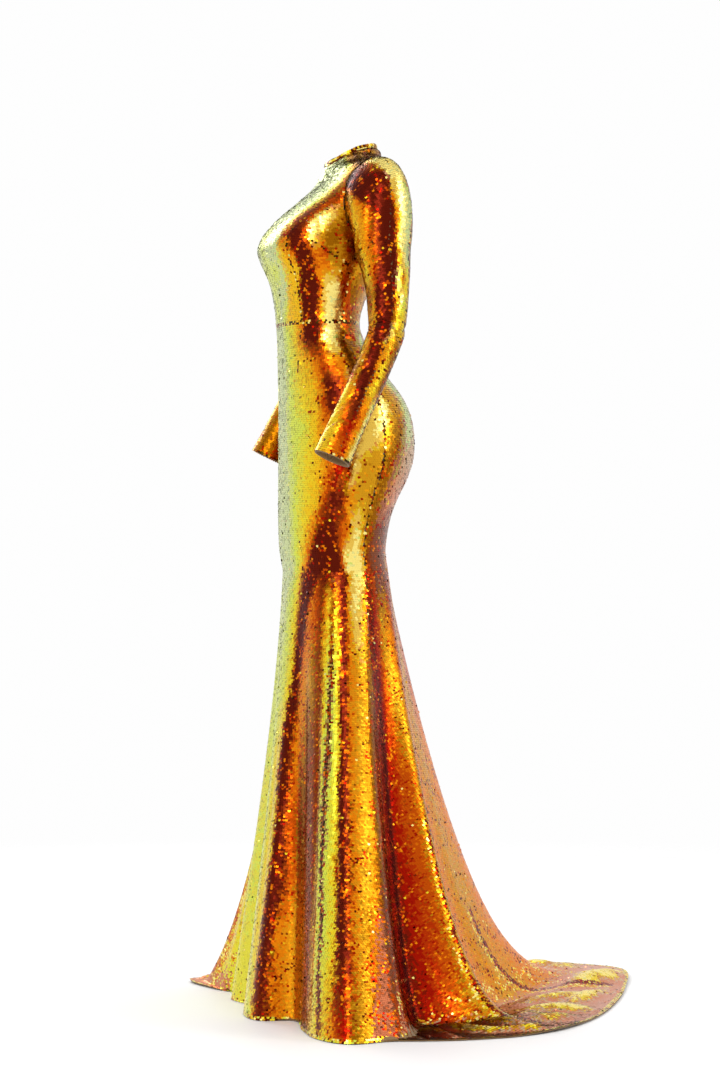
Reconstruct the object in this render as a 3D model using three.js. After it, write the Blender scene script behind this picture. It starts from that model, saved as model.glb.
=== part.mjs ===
// Long-sleeved evening gown with a train, kept in the hollow form that it has when worn.
// Lengths are millimetres. +X is the wearer's left, -Y the front and +Z up.
// The origin lies on the body axis at shoulder level, where the wearer holds the gown up.
import * as THREE from 'three';

// Driving sizes. Heights are above the floor that the hem and the train lie on.
const originHeight = 1520;
const waistHeight = 1230;
const flareHeight = 790;
const clothWall = 2;
const seamGap = 0.3;
const floorClearance = 0.4;
const slopeStep = 0.02;

// Neckline, a tilted oval seen from above.
const neck = { halfWidth: 62, halfDepth: 46, middle: 24, lowest: 1506, highest: 1547.4 };
const binding = { height: 6, thickness: 2.4, inset: 1.1, above: 1.3 };
const neckColumns = 8;
const neckSearchRounds = 30;

// Armhole, an oval seen from the side.
const armhole = { height: 1439, middle: 24, halfHeight: 67, halfDepth: 44, lean: 4 };

// Angles around the body are degrees from the centre front towards the left side.
const sideSeamAngle = 104;
const armholeSteps = 20;

// Bust cups, shaped by the princess seams and darts.
const cup = { angle: 36, width: 26, height: 1364, tall: 52, rise: 7 };

// Level sections from thigh to neck: half width, depth at the centre front and centre back,
// and roundness, where 2 is an ellipse and less is flatter over the shoulders.
const sections = readTable(['height', 'halfWidth', 'front', 'back', 'roundness'], [
  [flareHeight, 150, -94, 84, 2.1],
  [827, 156, -100, 79, 2.1],
  [881, 163, -102, 87, 2.1],
  [917, 168, -102, 100, 2.1],
  [953, 173, -102, 118, 2.1],
  [989, 176, -102, 130, 2.1],
  [1025, 176, -102, 132, 2.1],
  [1061, 173, -102, 127, 2.1],
  [1097, 166, -102, 112, 2.1],
  [1133, 155, -103, 85, 2.1],
  [1169, 141, -104, 61, 2.1],
  [1200, 129, -105, 42, 2.1],
  [waistHeight, 124, -107, 33, 2.1],
  [1270, 127, -111, 42, 2.1],
  [1313, 135, -120, 61, 2.1],
  [1345, 143, -131, 75, 2.2],
  [1367, 147, -136, 83, 2.3],
  [1389, 149, -129, 89, 2.4],
  [1410, 151, -114, 93, 2.5],
  [1432, 153, -92, 95, 2.5],
  [1453, 156, -67, 95, 2.5],
  [1475, 160, -42, 94, 2.4],
  [1492, 164, -28, 91, 2.1],
  [1508, 161, -23.4, 87, 1.6],
  [1520, 112, -20.5, 83, 1.4],
  [1533, 80, -12, 79, 1.5],
  [1541, 72, 8, 76, 1.6],
  [1548, 42, 40, 69.5, 1.6],
]);

// Princess seam from the waist over the bust to the front of the armhole.
const princessSeam = readTable(['height', 'angle'], [
  [waistHeight, 47],
  [1285, 45],
  [1345, 42],
  [1385, 43],
  [1415, 49],
  [1442, 55],
]);

// Rows of the bodice at its armhole and shoulder edge, from the princess seam's foot up.
const princessRows = [waistHeight, 1262, 1294, 1324, 1350, 1374, 1396, 1416, 1434];
const sideRows = [waistHeight, 1252, 1273, 1292, 1309, 1325, 1340, 1353, 1366];
const armholeFrontStep = 4;
const armholeSideStep = 8;
const shoulderRows = 5;
const sideColumns = 6;
// Least distance of the side front's rows below the armhole, and how the back's rows take up
// the rise of its neckline: the share of even spacing, and rows below the shoulder seam.
const sideRowDrop = 10;
const backEvenShare = 0.15;
const backRowsBelow = 4;

// Sleeve from the upper arm to the cuff: centre line and half sizes across it.
const leftArm = readTable(['height', 'across', 'deep', 'halfAcross', 'halfDeep'], [
  [1350, 187, 39, 45, 48],
  [1315, 200, 41, 40, 42],
  [1280, 211, 41, 36, 37],
  [1245, 221, 39, 33, 34],
  [1222, 227, 37, 32, 32],
  [1203, 232, 34, 31.5, 31],
  [1184, 235, 27, 31, 30.5],
  [1150, 239, 12, 30.5, 30],
  [1100, 243, -11, 30, 30],
  [1050, 246, -35, 30, 30.5],
  [1012, 248, -53, 30.5, 31.5],
  [984, 250, -66, 31, 33],
]);
const rightArm = readTable(['height', 'across', 'deep', 'halfAcross', 'halfDeep'], [
  [1350, 187, 36, 45, 48],
  [1315, 200, 37, 40, 42],
  [1280, 211, 36, 36, 37],
  [1248, 221, 33, 33, 34],
  [1226, 227, 30, 32, 32],
  [1208, 232, 26, 31.5, 31],
  [1190, 235, 18, 31, 30.5],
  [1158, 239, 2, 30.5, 30],
  [1110, 243, -22, 30, 30],
  [1062, 246, -46, 30, 30.5],
  [1026, 248, -64, 30.5, 31.5],
  [999, 250, -77, 31, 33],
]);
const sleeveHead = {
  steps: 6,
  outward: 0.44,
  upward: 0.2,
  downward: 0.58,
  backward: 40,
  trailing: 14,
  clear: 0.9,
  inside: 0.5,
};

// The flare, a row for each ridge and hollow of its folds. Angle is where the fold leaves the
// thigh, left and back are where it ends at the hem, landing is the share of the way at which
// it reaches the floor, and lift is how high it stays raised as a ridge on the floor.
const folds = readTable(['angle', 'left', 'back', 'landing', 'lift'], [
  [0, 20, -176, 1, 0],
  [16, 98, -166, 1, 0],
  [30, 118, -104, 0.97, 0],
  [46, 222, -112, 1, 0],
  [66, 322, -108, 1, 0],
  [84, 388, -66, 1, 0],
  [97, 376, 14, 0.97, 2],
  [104, 386, 68, 0.8, 2],
  [111, 391, 124, 0.56, 2],
  [118, 386, 180, 0.44, 2],
  [126, 372, 240, 0.52, 4],
  [136, 322, 326, 0.74, 14],
  [148, 212, 419, 0.52, 3],
  [160, 60, 503, 0.5, 4],
  [170, -120, 580, 0.62, 9],
  [180, -330, 644, 0.74, 20],
  [191, -462, 582, 0.58, 4],
  [204, -536, 476, 0.52, 3],
  [217, -566, 360, 0.62, 15],
  [231, -552, 240, 0.48, 3],
  [245, -508, 128, 0.6, 12],
  [257, -460, 32, 0.62, 5],
  [267, -444, -44, 0.74, 4],
  [276, -432, -112, 0.8, 5],
  [288, -412, -196, 0.84, 9],
  [303, -300, -172, 0.9, 3],
  [317, -232, -138, 0.97, 0],
  [331, -158, -164, 1, 0],
  [345, -66, -142, 0.98, 0],
]);
const foldRows = [-1, 0, 1].flatMap((turn) => folds.map((fold) => ({
  ...fold,
  angle: fold.angle + turn * 360,
})));

// A steep fall for the front and a fall that curls out along the floor for the train:
// plan and height of the two middle handles, as shares of the whole run and fall.
const steepFall = { nearPlan: 0.16, nearHeight: 0.66, farPlan: 0.6, farHeight: 0.33 };
const curledFall = { nearPlan: 0.2, nearHeight: 0.62, farPlan: 0.52, farHeight: 0.0 };
const curledLanding = 0.72;
const floorRunShare = 0.34;
const floorRunFrom = 0.4;
// Shares of the way out over which a ridge rises, and from which it sinks to the hem.
const ridgeFrom = 0.35;
const ridgeFull = 0.75;
const ridgeSink = 0.75;

// Rows of the skirt: heights down to the flare, then steps down the flare to the hem.
const skirtHeights = [waistHeight, 1208, 1182, 1150, 1115, 1078, 1040, 1000, 960, 915, 870, 828];
const flareSteps = 14;
const frontColumns = 44;
const backColumns = 18;

const cloth = {
  front: { color: 0xd6d84a, roughness: 0.34, metalness: 0.6 },
  side: { color: 0xd98a12, roughness: 0.32, metalness: 0.7 },
  back: { color: 0xa8442a, roughness: 0.36, metalness: 0.6 },
  edge: { color: 0xc9a21c, roughness: 0.4, metalness: 0.6 },
};

function readTable(names, rows) {
  return rows.map((row) => Object.fromEntries(names.map((name, place) => [name, row[place]])));
}

function radians(degrees) {
  return THREE.MathUtils.degToRad(degrees);
}

function mix(start, end, share) {
  return start + (end - start) * share;
}

// Slope of a table column at one row, from its neighbours.
function slopeAt(rows, key, column, place) {
  const before = rows[Math.max(place - 1, 0)];
  const after = rows[Math.min(place + 1, rows.length - 1)];
  return (after[column] - before[column]) / (after[key] - before[key]);
}

// A smooth curve through the rows of a table.
function smoothValue(rows, key, column, at) {
  const last = rows.length - 1;
  if (at <= rows[0][key]) {
    return rows[0][column];
  }
  if (at >= rows[last][key]) {
    return rows[last][column];
  }
  const place = rows.findIndex((row) => row[key] > at) - 1;
  const step = rows[place + 1][key] - rows[place][key];
  const share = (at - rows[place][key]) / step;
  const square = share * share;
  const cube = square * share;
  return rows[place][column] * (2 * cube - 3 * square + 1)
    + slopeAt(rows, key, column, place) * step * (cube - 2 * square + share)
    + rows[place + 1][column] * (3 * square - 2 * cube)
    + slopeAt(rows, key, column, place + 1) * step * (cube - square);
}

function sectionAt(height) {
  const front = smoothValue(sections, 'height', 'front', height);
  const back = smoothValue(sections, 'height', 'back', height);
  return {
    halfWidth: smoothValue(sections, 'height', 'halfWidth', height),
    middle: (front + back) / 2,
    halfDepth: (back - front) / 2,
    roundness: smoothValue(sections, 'height', 'roundness', height),
  };
}

function signedPower(value, power) {
  return Math.sign(value) * Math.abs(value) ** power;
}

// How far the cups push the bodice out at one place.
function cupPush(angle, height) {
  const aside = (Math.abs(angle) - cup.angle) / cup.width;
  const above = (height - cup.height) / cup.tall;
  return cup.rise * Math.exp(-(aside * aside) - above * above);
}

// The outer face of bodice and hips at an angle in degrees and a height.
function bodyPoint(angle, height) {
  const section = sectionAt(height);
  const power = 2 / section.roundness;
  const turn = radians(angle);
  const turned = angle > 180 ? angle - 360 : angle;
  const push = cupPush(turned, height);
  return new THREE.Vector3(
    section.halfWidth * signedPower(Math.sin(turn), power) + push * Math.sin(turn),
    section.middle - section.halfDepth * signedPower(Math.cos(turn), power) - push * Math.cos(turn),
    height,
  );
}

// Angle at which a section has a given depth, on the left half.
function angleAtDepth(height, depth) {
  const section = sectionAt(height);
  const share = THREE.MathUtils.clamp((section.middle - depth) / section.halfDepth, -1, 1);
  return THREE.MathUtils.radToDeg(Math.acos(signedPower(share, section.roundness / 2)));
}

// The armhole's place at a share of its round: 0 at the shoulder, a quarter at the front,
// a half under the arm, three quarters at the back.
function armholePlace(share) {
  const turn = share * Math.PI * 2;
  const height = armhole.height + armhole.halfHeight * Math.cos(turn);
  const lean = armhole.lean * (1 - Math.cos(turn)) / 2;
  const depth = armhole.middle - lean - armhole.halfDepth * Math.sin(turn);
  return { height, angle: angleAtDepth(height, depth) };
}

// The neckline's place at an angle around the neck, found by halving the height range.
function neckPlace(turnAngle) {
  const turn = radians(turnAngle);
  const across = neck.halfWidth * Math.sin(turn);
  const depth = neck.middle - neck.halfDepth * Math.cos(turn);
  let low = neck.lowest;
  let high = neck.highest;
  for (let round = 0; round < neckSearchRounds; round += 1) {
    const height = (low + high) / 2;
    const section = sectionAt(height);
    const wide = Math.abs(across / section.halfWidth) ** section.roundness;
    const deep = Math.abs((depth - section.middle) / section.halfDepth) ** section.roundness;
    if (wide + deep < 1) {
      low = height;
    } else {
      high = height;
    }
  }
  const section = sectionAt(low);
  const sine = signedPower(across / section.halfWidth, section.roundness / 2);
  const cosine = signedPower((section.middle - depth) / section.halfDepth, section.roundness / 2);
  return { height: low, angle: THREE.MathUtils.radToDeg(Math.atan2(sine, cosine)) };
}

// Outer and inner point of the cloth wall, the inner one moved in along the face's normal.
function clothPair(surface, first, second, level = false) {
  const outer = surface(first, second);
  const along = surface(first + slopeStep, second).sub(surface(first - slopeStep, second));
  const up = surface(first, second + slopeStep).sub(surface(first, second - slopeStep));
  const normal = along.cross(up);
  if (level) {
    normal.z = 0;
  }
  normal.normalize().multiplyScalar(clothWall);
  return { outer, inner: outer.clone().sub(normal) };
}

// Draws the border of a grid of cloth pairs back from the seam that it shares.
function drawBack(grid) {
  const shift = (edge, neighbour) => {
    const way = neighbour.outer.clone().sub(edge.outer).setLength(seamGap / 2);
    edge.outer.add(way);
    edge.inner.add(way);
  };
  const lastColumn = grid[0].length - 1;
  grid.forEach((row) => {
    shift(row[0], row[1]);
    shift(row[lastColumn], row[lastColumn - 1]);
  });
  const lastRow = grid.length - 1;
  grid[0].forEach((pair, column) => shift(pair, grid[1][column]));
  grid[lastRow].forEach((pair, column) => shift(pair, grid[lastRow - 1][column]));
  return grid;
}

// A closed solid from quads given as four points each.
function solidFromQuads(quads) {
  const positions = [];
  const numbers = new Map();
  const indices = [];
  const numberOf = (point) => {
    const name = point.toArray().map((value) => value.toFixed(4)).join(' ');
    if (!numbers.has(name)) {
      numbers.set(name, numbers.size);
      positions.push(point.x, point.y, point.z);
    }
    return numbers.get(name);
  };
  let volume = 0;
  quads.forEach((quad) => {
    const corner = quad.map(numberOf);
    [[0, 1, 2], [0, 2, 3]].forEach((triple) => {
      const [a, b, c] = triple.map((place) => quad[place]);
      const face = triple.map((place) => corner[place]);
      if (new Set(face).size === 3) {
        indices.push(...face);
        volume += a.dot(b.clone().cross(c)) / 6;
      }
    });
  });
  if (volume < 0) {
    indices.reverse();
  }
  const geometry = new THREE.BufferGeometry();
  geometry.setAttribute('position', new THREE.Float32BufferAttribute(positions, 3));
  geometry.setIndex(indices);
  geometry.computeVertexNormals();
  return geometry;
}

// Outer and inner face between four pairs, both split along the outer face's shorter diagonal.
function wallQuads(corners) {
  const straight = corners[0].outer.distanceTo(corners[2].outer);
  const crossed = corners[1].outer.distanceTo(corners[3].outer);
  const turned = straight <= crossed ? corners : [...corners.slice(1), corners[0]];
  const [a, b, c, d] = turned;
  return [
    [a.outer, b.outer, c.outer, d.outer],
    [a.inner, d.inner, c.inner, b.inner],
  ];
}

// The wall's edge between two pairs. Its diagonal starts at the lower pair's outer point, so
// that the two pieces of a seam are split alike.
function rimQuad(start, end) {
  if (start.outer.z < end.outer.z) {
    return [start.outer, start.inner, end.inner, end.outer];
  }
  return [end.outer, start.outer, start.inner, end.inner];
}

// A wall of cloth from a grid of pairs, closed along its four edges.
function panelSolid(grid) {
  const quads = [];
  const lastRow = grid.length - 1;
  const lastColumn = grid[0].length - 1;
  for (let row = 0; row < lastRow; row += 1) {
    for (let column = 0; column < lastColumn; column += 1) {
      const corners = [
        grid[row][column],
        grid[row][column + 1],
        grid[row + 1][column + 1],
        grid[row + 1][column],
      ];
      quads.push(...wallQuads(corners));
    }
  }
  const rim = (start, end) => quads.push(rimQuad(start, end));
  for (let column = 0; column < lastColumn; column += 1) {
    rim(grid[0][column], grid[0][column + 1]);
    rim(grid[lastRow][column + 1], grid[lastRow][column]);
  }
  for (let row = 0; row < lastRow; row += 1) {
    rim(grid[row + 1][0], grid[row][0]);
    rim(grid[row][lastColumn], grid[row + 1][lastColumn]);
  }
  return solidFromQuads(quads);
}

// A tube of cloth from rings of pairs, closed at both ends by the wall's own edge.
function tubeSolid(rings) {
  const quads = [];
  const count = rings[0].length;
  const lastRing = rings.length - 1;
  for (let side = 0; side < count; side += 1) {
    const next = (side + 1) % count;
    for (let ring = 0; ring < lastRing; ring += 1) {
      const corners = [
        rings[ring][side],
        rings[ring][next],
        rings[ring + 1][next],
        rings[ring + 1][side],
      ];
      quads.push(...wallQuads(corners));
    }
    const first = [rings[0][side], rings[0][next]];
    const last = [rings[lastRing][next], rings[lastRing][side]];
    [first, last].forEach(([start, end]) => {
      quads.push(rimQuad(start, end));
    });
  }
  return solidFromQuads(quads);
}

function mirrored(grid) {
  const flip = (point) => new THREE.Vector3(-point.x, point.y, point.z);
  return grid.map((row) => row.map((pair) => ({
    outer: flip(pair.outer),
    inner: flip(pair.inner),
  })));
}

function placesToGrid(places) {
  return places.map((row, rowNumber) => row.map((place) => (
    clothPair(bodyPoint, place.angle, place.height, rowNumber === 0)
  )));
}

// Angle of the side seam, which leans a little forward on its way up to the armhole.
function sideAngle(height) {
  const top = armholePlace(armholeSideStep / armholeSteps);
  const climb = (height - waistHeight) / (top.height - waistHeight);
  return mix(sideSeamAngle, top.angle, climb);
}

// Edge of the centre front on the left: princess seam, armhole, then shoulder seam.
function frontEdge() {
  const seam = princessRows.map((height) => ({
    height,
    angle: smoothValue(princessSeam, 'height', 'angle', height),
  }));
  const hole = [];
  for (let step = armholeFrontStep; step >= 0; step -= 1) {
    hole.push(armholePlace(step / armholeSteps));
  }
  return [...seam, ...hole, ...shoulderEdge()];
}

// Shoulder seam from the armhole to the neckline.
function shoulderEdge() {
  const tip = armholePlace(0);
  const neckEnd = neckPlace(90);
  const rows = [];
  for (let step = 1; step <= shoulderRows; step += 1) {
    const share = step / shoulderRows;
    rows.push({
      height: mix(tip.height, neckEnd.height, share),
      angle: mix(tip.angle, neckEnd.angle, share),
    });
  }
  return rows;
}

// Rows between a centre line and a side edge that end in the neckline.
function rowsToNeck(edge, centreAngle, columns) {
  const lastRow = edge.length - 1;
  const neckCentre = neckPlace(centreAngle);
  return edge.map((place, row) => {
    const climb = (place.height - waistHeight) / (edge[lastRow].height - waistHeight);
    const centreHeight = mix(waistHeight, neckCentre.height, climb);
    const points = [];
    for (let column = 0; column <= columns; column += 1) {
      const share = column / columns;
      const onNeck = neckPlace(mix(centreAngle, 90, share));
      const inside = {
        angle: mix(centreAngle, place.angle, share),
        height: mix(centreHeight, place.height, share * share),
      };
      const towardsNeck = Math.max(0, (row - princessRows.length) / (lastRow - princessRows.length));
      const pull = towardsNeck * towardsNeck;
      points.push({
        angle: mix(inside.angle, onNeck.angle, pull),
        height: mix(inside.height, onNeck.height, pull),
      });
    }
    points[columns] = place;
    return points;
  });
}

function centreFrontSolid() {
  const half = placesToGrid(rowsToNeck(frontEdge(), 0, neckColumns));
  const other = mirrored(half);
  const whole = half.map((row, number) => [...other[number].slice(1).reverse(), ...row]);
  return panelSolid(drawBack(whole));
}

// Side front between the princess seam and the side seam, its top cut by the armhole.
function sideFrontGrid() {
  const lastRow = princessRows.length - 1;
  const seamTop = armholeFrontStep / armholeSteps;
  const places = princessRows.map((height, row) => {
    const seamAngle = smoothValue(princessSeam, 'height', 'angle', height);
    const points = [];
    for (let column = 0; column <= sideColumns; column += 1) {
      const share = column / sideColumns;
      points.push({
        angle: mix(seamAngle, sideAngle(sideRows[row]), share),
        height: mix(height, sideRows[row], share),
      });
    }
    return points;
  });
  const top = [];
  for (let column = 0; column <= sideColumns; column += 1) {
    const share = column / sideColumns;
    top.push(armholePlace(mix(seamTop, armholeSideStep / armholeSteps, share)));
  }
  places.push(top);
  for (let column = 1; column < sideColumns; column += 1) {
    const drop = places[lastRow][column].height - (top[column].height - sideRowDrop);
    for (let row = 1; row <= lastRow; row += 1) {
      places[row][column].height -= drop * (row / lastRow);
    }
  }
  return drawBack(placesToGrid(places));
}

// Back edge at the side: side seam, back of the armhole, then shoulder seam.
function backEdge() {
  const seam = sideRows.map((height) => ({ height, angle: sideAngle(height) }));
  const hole = [];
  for (let step = armholeSideStep; step < armholeSteps; step += 1) {
    hole.push(armholePlace(step / armholeSteps));
  }
  hole.push(armholePlace(0));
  return [...seam, ...hole, ...shoulderEdge()];
}

function backGrid() {
  const edge = backEdge();
  const columns = neckColumns;
  const lastRow = edge.length - 1;
  const neckCentre = neckPlace(180);
  const places = edge.map((place, row) => {
    const climb = row / lastRow;
    const level = (place.height - waistHeight) / (edge[lastRow].height - waistHeight);
    const centreHeight = mix(waistHeight, neckCentre.height, mix(level, climb, backEvenShare * climb));
    const pull = Math.max(0, 1 - (lastRow - row) / (shoulderRows + backRowsBelow)) ** 2;
    const points = [];
    for (let column = 0; column <= columns; column += 1) {
      const share = column / columns;
      const onNeck = neckPlace(mix(90, 180, share));
      const inside = {
        angle: mix(place.angle, 180, share),
        height: mix(centreHeight, place.height, (1 - share) * (1 - share)),
      };
      points.push({
        angle: mix(inside.angle, onNeck.angle, pull),
        height: mix(inside.height, onNeck.height, pull),
      });
    }
    points[0] = place;
    return points;
  });
  return drawBack(placesToGrid(places));
}

// Band around the neckline, standing on the edge of the bodice.
function neckBindingSolid() {
  const rings = [[], []];
  for (let step = 0; step < neckColumns * 4; step += 1) {
    const turnAngle = (step / neckColumns) * 90;
    const turn = radians(turnAngle);
    const place = neckPlace(turnAngle > 180 ? 360 - turnAngle : turnAngle);
    const ringPoint = (drawn, height) => new THREE.Vector3(
      (neck.halfWidth - drawn) * Math.sin(turn),
      neck.middle - (neck.halfDepth - drawn) * Math.cos(turn),
      height,
    );
    [0, binding.height].forEach((rise, number) => {
      const height = place.height + binding.above + rise;
      rings[number].push({
        outer: ringPoint(binding.inset, height),
        inner: ringPoint(binding.inset + binding.thickness, height),
      });
    });
  }
  return tubeSolid(rings);
}

// Frame of the arm at one row of its table: centre, and unit ways outward and forward.
function armFrame(rows, place) {
  const before = rows[Math.max(place - 1, 0)];
  const after = rows[Math.min(place + 1, rows.length - 1)];
  const centreOf = (row) => new THREE.Vector3(row.across, row.deep, row.height);
  const down = centreOf(after).sub(centreOf(before)).normalize();
  const forward = new THREE.Vector3(0, -1, 0).addScaledVector(down, down.y).normalize();
  const outward = new THREE.Vector3().crossVectors(down, forward).normalize();
  if (outward.x < 0) {
    outward.negate();
  }
  return { centre: centreOf(rows[place]), forward, outward };
}

function armRingPoint(rows, place, share) {
  const turn = share * Math.PI * 2;
  const frame = armFrame(rows, place);
  return frame.centre.clone()
    .addScaledVector(frame.outward, rows[place].halfAcross * Math.cos(turn))
    .addScaledVector(frame.forward, rows[place].halfDeep * Math.sin(turn));
}

// A path from the armhole over the rounded sleeve head to the upper arm.
function sleeveHeadPoint(rows, share, run) {
  const place = armholePlace(share);
  const start = bodyPoint(place.angle, place.height);
  const centre = new THREE.Vector3(start.x, armhole.middle, armhole.height);
  start.add(centre.sub(start).setLength(sleeveHead.inside));
  start.x += sleeveHead.clear;
  const end = armRingPoint(rows, 0, share);
  const reach = start.distanceTo(end);
  const topShare = (1 + Math.cos(share * Math.PI * 2)) / 2;
  const backShare = topShare * (1 - Math.sin(share * Math.PI * 2)) / 2;
  const first = start.clone().add(new THREE.Vector3(
    reach * sleeveHead.outward,
    sleeveHead.backward * backShare,
    reach * sleeveHead.upward * topShare,
  ));
  const second = end.clone().add(new THREE.Vector3(
    0,
    sleeveHead.trailing * backShare,
    reach * sleeveHead.downward * topShare,
  ));
  return new THREE.CubicBezierCurve3(start, first, second, end).getPoint(run);
}

function sleeveRings(rows) {
  const rings = [];
  const ringFrom = (pointAt) => {
    const ring = [];
    for (let side = 0; side < armholeSteps; side += 1) {
      ring.push(pointAt(side / armholeSteps));
    }
    return ring;
  };
  for (let step = 0; step < sleeveHead.steps; step += 1) {
    rings.push(ringFrom((share) => sleeveHeadPoint(rows, share, step / sleeveHead.steps)));
  }
  rows.forEach((row, place) => rings.push(ringFrom((share) => armRingPoint(rows, place, share))));
  return rings;
}

// Gives each ring point its inner partner, along the normal of the ring and the run.
function pairRings(rings) {
  const count = rings[0].length;
  return rings.map((ring, number) => ring.map((outer, side) => {
    const before = rings[Math.max(number - 1, 0)][side];
    const after = rings[Math.min(number + 1, rings.length - 1)][side];
    const left = ring[(side + 1) % count];
    const right = ring[(side + count - 1) % count];
    const along = after.clone().sub(before);
    const round = left.clone().sub(right);
    const normal = round.cross(along).normalize().multiplyScalar(clothWall);
    const centre = ring.reduce((sum, point) => sum.add(point), new THREE.Vector3())
      .divideScalar(count);
    if (normal.dot(outer.clone().sub(centre)) < 0) {
      normal.negate();
    }
    return { outer: outer.clone(), inner: outer.clone().sub(normal) };
  }));
}

function sleeveSolid(rows, side) {
  const rings = pairRings(sleeveRings(rows));
  return tubeSolid(side > 0 ? rings : mirrored(rings));
}

// A point of the skirt: a height above the flare, or a run from 0 at the flare to 1 at the hem.
function flarePoint(angle, run) {
  const start = bodyPoint(angle, flareHeight);
  const foldValue = (column) => smoothValue(foldRows, 'angle', column, angle);
  const landing = Math.min(foldValue('landing'), 1);
  const curl = THREE.MathUtils.smoothstep(1 - landing, 0, 1 - curledLanding);
  const handle = (name) => mix(steepFall[name], curledFall[name], curl);
  const floorShare = floorRunShare * THREE.MathUtils.smoothstep(1 - landing, 0, floorRunFrom);
  const fallShare = 1 - floorShare;
  const floorHeight = clothWall + floorClearance;
  let plan = 0;
  let height = floorHeight;
  if (run <= fallShare) {
    const t = run / fallShare;
    const s = 1 - t;
    plan = landing * (3 * s * s * t * handle('nearPlan') + 3 * s * t * t * handle('farPlan') + t ** 3);
    const fall = s ** 3 + 3 * s * s * t * handle('nearHeight') + 3 * s * t * t * handle('farHeight');
    height = mix(floorHeight, flareHeight, fall);
  } else {
    plan = mix(landing, 1, (run - fallShare) / floorShare);
  }
  const ridge = Math.max(foldValue('lift'), 0)
    * THREE.MathUtils.smoothstep(plan, ridgeFrom, ridgeFull)
    * (1 - ridgeSink * THREE.MathUtils.smoothstep(plan, ridgeFull, 1));
  return new THREE.Vector3(
    mix(start.x, foldValue('left'), plan),
    mix(start.y, foldValue('back'), plan),
    height + ridge,
  );
}

// The skirt's outer face at an angle and a row number, which may lie between rows.
function skirtPoint(angle, row) {
  const straightRows = skirtHeights.length;
  if (row < straightRows) {
    const place = Math.min(Math.floor(Math.max(row, 0)), straightRows - 1);
    const next = place + 1 < straightRows ? skirtHeights[place + 1] : flareHeight;
    return bodyPoint(angle, mix(skirtHeights[place], next, row - place));
  }
  return flarePoint(angle, Math.min((row - straightRows) / flareSteps, 1));
}

function skirtGrid(startAngle, endAngle, columns) {
  const grid = [];
  const lastRow = skirtHeights.length + flareSteps;
  for (let row = 0; row <= lastRow; row += 1) {
    const points = [];
    for (let column = 0; column <= columns; column += 1) {
      const angle = mix(startAngle, endAngle, column / columns);
      const pair = clothPair((first, second) => skirtPoint(first, -second), angle, -row, row === 0);
      pair.inner.z = Math.max(pair.inner.z, floorClearance);
      points.push(pair);
    }
    grid.push(points);
  }
  return drawBack(grid);
}

function addPiece(group, name, geometry, look) {
  const mesh = new THREE.Mesh(geometry, new THREE.MeshStandardMaterial(look));
  mesh.name = name;
  group.add(mesh);
}

const gown = new THREE.Group();
gown.position.z = -originHeight;

addPiece(gown, 'bodice_centre_front', centreFrontSolid(), cloth.front);
addPiece(gown, 'bodice_side_front_left', panelSolid(sideFrontGrid()), cloth.side);
addPiece(gown, 'bodice_side_front_right', panelSolid(mirrored(sideFrontGrid())), cloth.side);
addPiece(gown, 'bodice_back_left', panelSolid(backGrid()), cloth.back);
addPiece(gown, 'bodice_back_right', panelSolid(mirrored(backGrid())), cloth.back);
addPiece(gown, 'neck_binding', neckBindingSolid(), cloth.edge);
addPiece(gown, 'sleeve_left', sleeveSolid(leftArm, 1), cloth.side);
addPiece(gown, 'sleeve_right', sleeveSolid(rightArm, -1), cloth.side);

const frontStart = -sideSeamAngle;
const backEnd = 360 - sideSeamAngle;
addPiece(gown, 'skirt_front', panelSolid(skirtGrid(frontStart, sideSeamAngle, frontColumns)), cloth.front);
addPiece(gown, 'skirt_back_left', panelSolid(skirtGrid(sideSeamAngle, 180, backColumns)), cloth.side);
addPiece(gown, 'skirt_back_right', panelSolid(skirtGrid(180, backEnd, backColumns)), cloth.back);

export default gown;
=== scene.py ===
# Evening gown in its worn form: thin cloth on the form of the solids, covered with sequins.
# Sizes are millimetres above the floor, and turn to metres in the frame when a mesh is made.
import math

import bmesh
import bpy
import numpy as np
from mathutils import Matrix, Vector


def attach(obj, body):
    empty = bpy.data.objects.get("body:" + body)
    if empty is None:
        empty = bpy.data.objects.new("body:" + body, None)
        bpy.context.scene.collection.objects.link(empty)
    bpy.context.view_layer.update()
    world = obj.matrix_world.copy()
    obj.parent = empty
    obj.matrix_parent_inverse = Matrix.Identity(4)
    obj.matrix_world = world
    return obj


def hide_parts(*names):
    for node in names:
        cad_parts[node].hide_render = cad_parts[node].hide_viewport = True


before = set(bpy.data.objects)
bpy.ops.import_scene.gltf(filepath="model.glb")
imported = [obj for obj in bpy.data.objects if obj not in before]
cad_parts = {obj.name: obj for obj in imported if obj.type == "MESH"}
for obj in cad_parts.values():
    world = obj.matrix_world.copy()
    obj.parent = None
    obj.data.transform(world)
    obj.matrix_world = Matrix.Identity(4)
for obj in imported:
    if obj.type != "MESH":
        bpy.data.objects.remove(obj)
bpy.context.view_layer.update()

ORIGIN_HEIGHT = 1520.0
WAIST = 1230.0
FLARE = 790.0
BODICE_TOP = 1548.0
CLOTH_WALL = 2.0
FLOOR_CLEARANCE = 0.4
# The lowest that thin cloth and sequins lie above the floor.
FLOOR_GAP = 0.3
SIDE_SEAM = 104.0
# Angles round the flare run on from here, so that no crease or row is split.
FLARE_START = -108.0
# The faces of the thin cloth shells, in from the surface that carries the sequins.
SHELL_FACE = 0.5
SHELL_BACK = 1.7

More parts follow.
